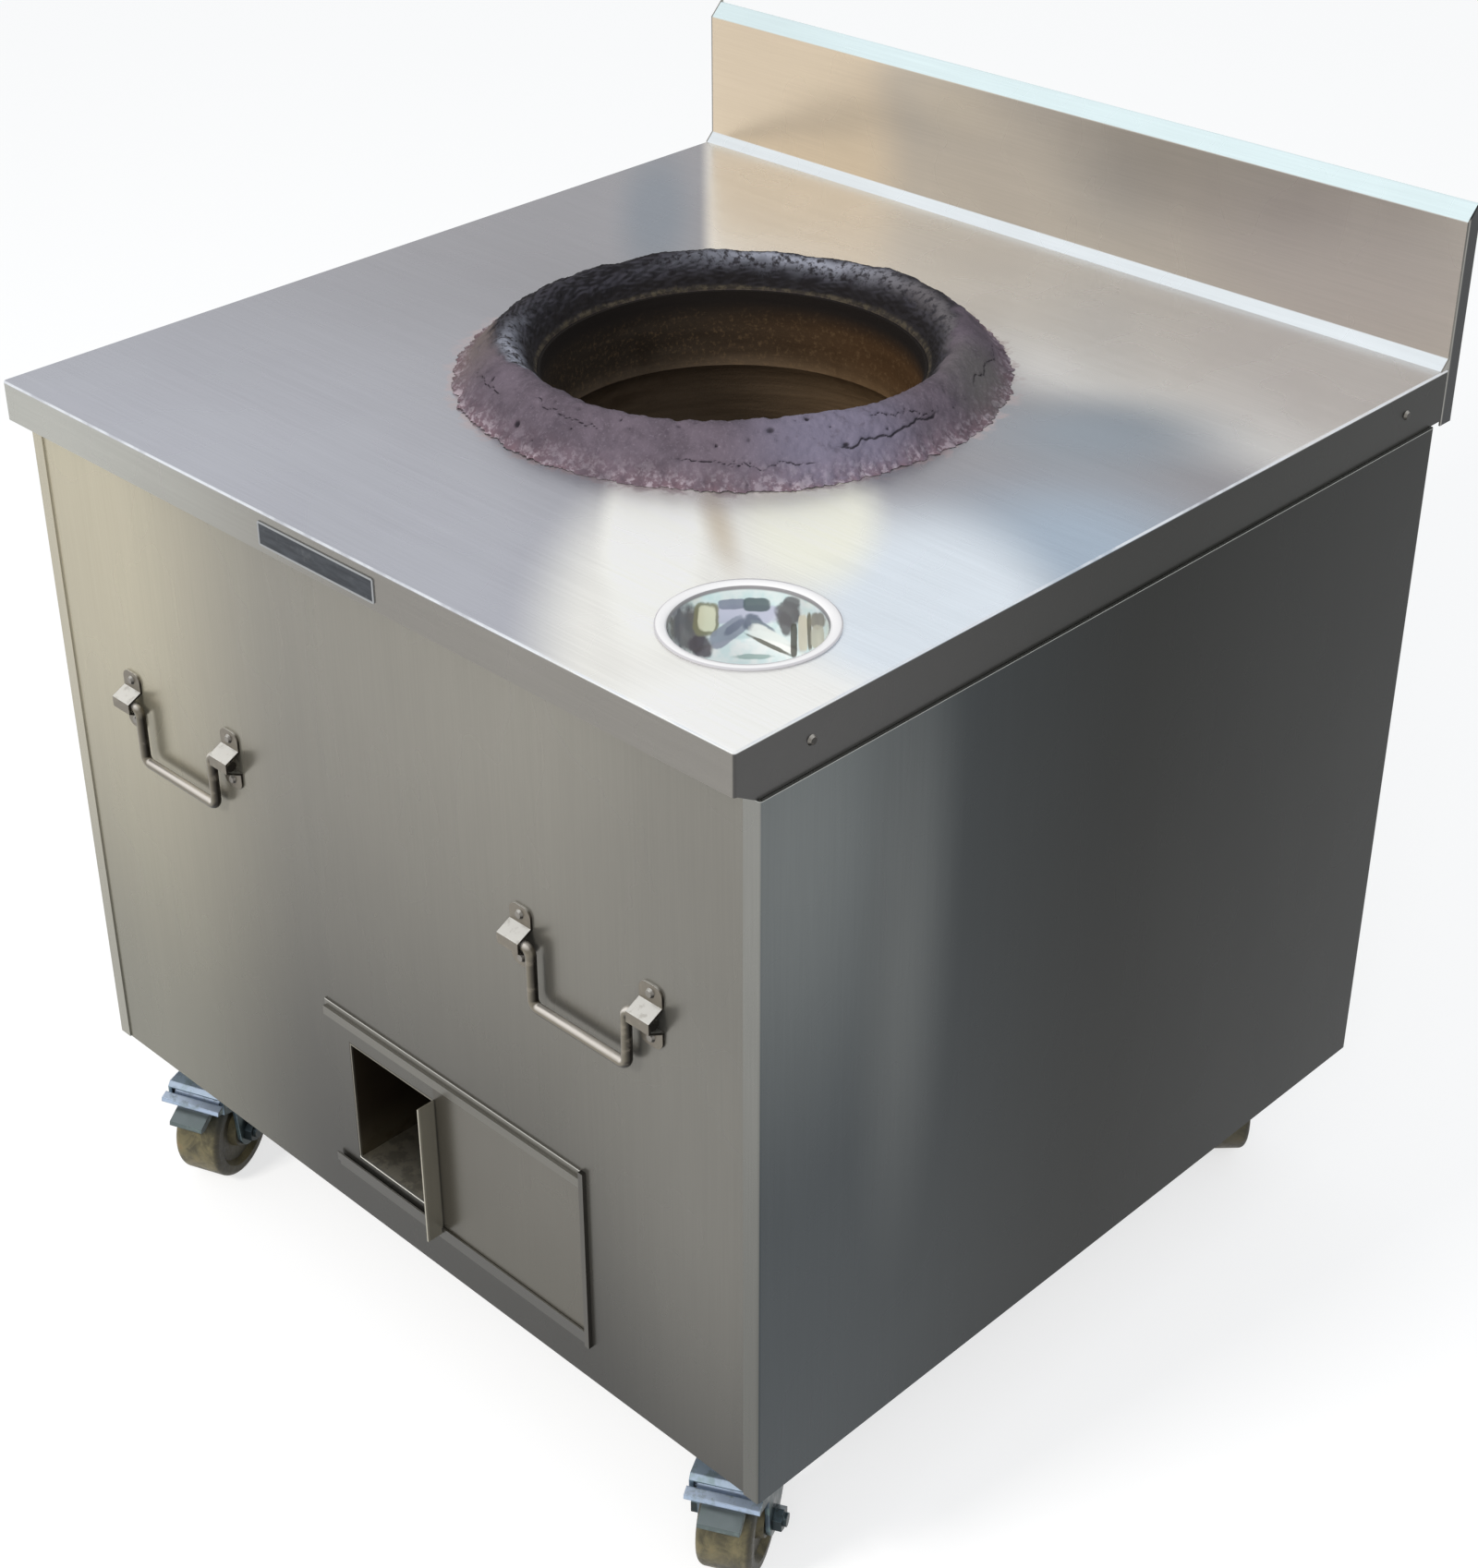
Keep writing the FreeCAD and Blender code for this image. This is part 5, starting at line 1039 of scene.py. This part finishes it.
# Painted reflection: what the polished bowl mirrors, as patches on the plane that faces its usual view: across, up,
# half-width and half-height in mm, turn in degrees, how square it is, colour.
BOWL_PATCHES = [
    (-2, 9, 26, 7, 0, 3, (206, 204, 224)),
    (-42, -2, 14, 17, 10, 2, (104, 98, 102)),
    (-33, -14, 9, 8, -20, 2, (96, 88, 96)),
    (-29.5, 5.5, 9.0, 12.0, -4, 4, (146, 142, 116)),
    (-29.0, 6.2, 6.4, 9.2, -4, 4, (240, 236, 210)),
    (-11, 16.5, 9.5, 3.8, 3, 4, (142, 146, 164)),
    (7, 16.0, 9.5, 4.8, -3, 4, (96, 108, 112)),
    (-14, -3.5, 15.5, 6.4, 36, 4, (158, 162, 178)),
    (-9, 0.5, 9.0, 3.0, 36, 2, (132, 136, 154)),
    (3.5, 3.2, 7.0, 6.0, -12, 2, (118, 124, 140)),
    (11, 0.5, 10.0, 2.6, -26, 2, (140, 148, 158)),
    (17, -9, 17.0, 6.0, -30, 3, (252, 252, 248)),
    (16, -13.2, 17.5, 1.6, -27, 2, (106, 106, 96)),
    (29, 9, 9.0, 9.0, -10, 2, (104, 100, 102)),
    (32, 17, 6.0, 4.5, 0, 2, (120, 118, 120)),
    (27.5, 2, 4.5, 9.0, 8, 2, (112, 108, 110)),
    (33.2, -10, 2.3, 12, 0, 4, (92, 88, 80)),
    (39.5, -5, 3.2, 13, 0, 4, (232, 224, 204)),
    (44.0, -4, 1.5, 13, 2, 4, (122, 116, 100)),
    (49, 3, 5.5, 6.0, 0, 2, (150, 144, 132)),
    (49, -8, 4.5, 8.0, 0, 3, (206, 202, 184)),
    (4, -21.2, 14, 2.0, 0, 2, (168, 190, 186)),
]


def bowl_material():
    """Mirror polish, with painted reflections of the blocks of dark and light that the bowl mirrors, a painted
    highlight on the rim, a painted shadow line round it and painted shade below the deck.
    """
    finish = Finish("Polished bowl", metal=0.45, roughness=0.22)
    local = finish.moved((BOWL[0], BOWL[1], DECK), 45.0)
    across, away, rise = (finish.axis(name, local) for name in "XYZ")
    up = finish.calc("ADD", finish.calc("MULTIPLY", away, 0.51), finish.calc("MULTIPLY", rise, 0.86))
    plane = finish.put("CombineXYZ", [(0, across), (1, up), (2, 0.0)]).outputs[0]
    smear = finish.noise(120.0, 2.0, 0.5)
    blur = finish.ease(smear, 0.3, 0.7, -0.22, 0.22)
    # The pale ground of the painted reflection.
    tone = finish.mix(finish.ease(smear, 0.3, 0.7), srgb(224, 242, 243), srgb(246, 250, 249))
    for side, height, half_side, half_height, turn, square, colour in BOWL_PATCHES:
        place = [(0, plane), (1, (side / 1000, height / 1000, 0)), (2, (0, 0, math.radians(turn)))]
        place.append((3, (half_side / 1000, half_height / 1000, 1)))
        seen = finish.put("Mapping", place, vector_type="TEXTURE").outputs[0]
        far = [finish.calc("POWER", finish.calc("ABSOLUTE", finish.axis(name, seen)), square) for name in "XY"]
        reach = finish.calc("ADD", finish.calc("ADD", *far), blur)
        tone = finish.mix(finish.ease(reach, 0.60, 1.40, 0.92, 0), tone, srgb(*colour))
    radius = finish.put("CombineXYZ", [(0, across), (1, away), (2, 0.0)]).outputs[0]
    radius = finish.put("VectorMath", [(0, radius)], operation="LENGTH").outputs["Value"]
    # Painted shade below the deck, a painted highlight on the rolled rim and a painted shadow line round its outer
    # edge.
    tone = finish.mix(finish.ramp("Z", DECK - 0.0030, DECK - 0.0012), tone, srgb(150, 148, 150))
    tone = finish.mix(finish.ramp("Z", DECK + 0.0002, DECK + 0.0008), tone, srgb(250, 249, 250))
    tone = finish.mix(finish.ease(radius, 0.0646, 0.0656), tone, srgb(206, 204, 208))
    finish.colour(tone)
    return finish.material


# Operators


class TANDOOR_OT_stage(bpy.types.Operator):
    """Sets up the camera, the floor and the soft studio light"""

    bl_idname = "tandoor.stage"
    bl_label = "Stage"

    def execute(self, context):
        build_stage(context.scene.tandoor_stage)
        return {"FINISHED"}


class TANDOOR_OT_sheets(bpy.types.Operator):
    """Gives the cabinet's sheets their brushed finish"""

    bl_idname = "tandoor.sheets"
    bl_label = "Stainless sheets"

    def execute(self, context):
        dress_sheets(context.scene.tandoor_steel)
        return {"FINISHED"}


class TANDOOR_OT_vent(bpy.types.Operator):
    """Finishes the draught door, its rails and the sleeve behind it"""

    bl_idname = "tandoor.vent"
    bl_label = "Draught door"

    def execute(self, context):
        dress_vent(context.scene.tandoor_steel)
        return {"FINISHED"}


class TANDOOR_OT_frame(bpy.types.Operator):
    """Primes the angle-iron frame"""

    bl_idname = "tandoor.frame"
    bl_label = "Frame"

    def execute(self, context):
        dress_frame()
        return {"FINISHED"}


class TANDOOR_OT_oven(bpy.types.Operator):
    """Finishes the clay pot, its insulation, the hearth and the grate"""

    bl_idname = "tandoor.oven"
    bl_label = "Clay pot and hearth"

    def execute(self, context):
        dress_oven()
        return {"FINISHED"}


class TANDOOR_OT_small_metal(bpy.types.Operator):
    """Finishes the handles, the screws, the plate and the casters"""

    bl_idname = "tandoor.small_metal"
    bl_label = "Small metal"

    def execute(self, context):
        dress_small_metal()
        return {"FINISHED"}


class TANDOOR_OT_collar(bpy.types.Operator):
    """Plasters the clay collar round the mouth"""

    bl_idname = "tandoor.collar"
    bl_label = "Clay collar"

    def execute(self, context):
        build_collar(context.scene.tandoor_clay)
        return {"FINISHED"}


class TANDOOR_OT_bowl(bpy.types.Operator):
    """Spins the water bowl"""

    bl_idname = "tandoor.bowl"
    bl_label = "Water bowl"

    def execute(self, context):
        build_bowl()
        return {"FINISHED"}


class TANDOOR_PT_panel(bpy.types.Panel):
    """Lists the steps that dress the oven"""

    bl_idname = "TANDOOR_PT_panel"
    bl_label = "Clay tandoor"
    bl_space_type = "VIEW_3D"
    bl_region_type = "UI"
    bl_category = "Tandoor"

    def draw(self, context):
        for step in STEPS:
            self.layout.operator(step.bl_idname)


STEPS = (
    TANDOOR_OT_stage,
    TANDOOR_OT_sheets,
    TANDOOR_OT_vent,
    TANDOOR_OT_frame,
    TANDOOR_OT_oven,
    TANDOOR_OT_small_metal,
    TANDOOR_OT_collar,
    TANDOOR_OT_bowl,
)
SETTINGS = {"tandoor_steel": TandoorSteel, "tandoor_clay": TandoorClay, "tandoor_stage": TandoorStage}
CLASSES = (*SETTINGS.values(), *STEPS, TANDOOR_PT_panel)


def register():
    for kind in CLASSES:
        bpy.utils.register_class(kind)
    for name, group in SETTINGS.items():
        setattr(bpy.types.Scene, name, PointerProperty(type=group))


def unregister():
    for name in SETTINGS:
        delattr(bpy.types.Scene, name)
    for kind in reversed(CLASSES):
        bpy.utils.unregister_class(kind)


def main():
    register()
    for step in STEPS:
        group, name = step.bl_idname.split(".")
        getattr(getattr(bpy.ops, group), name)()


if __name__ == "__main__":
    main()
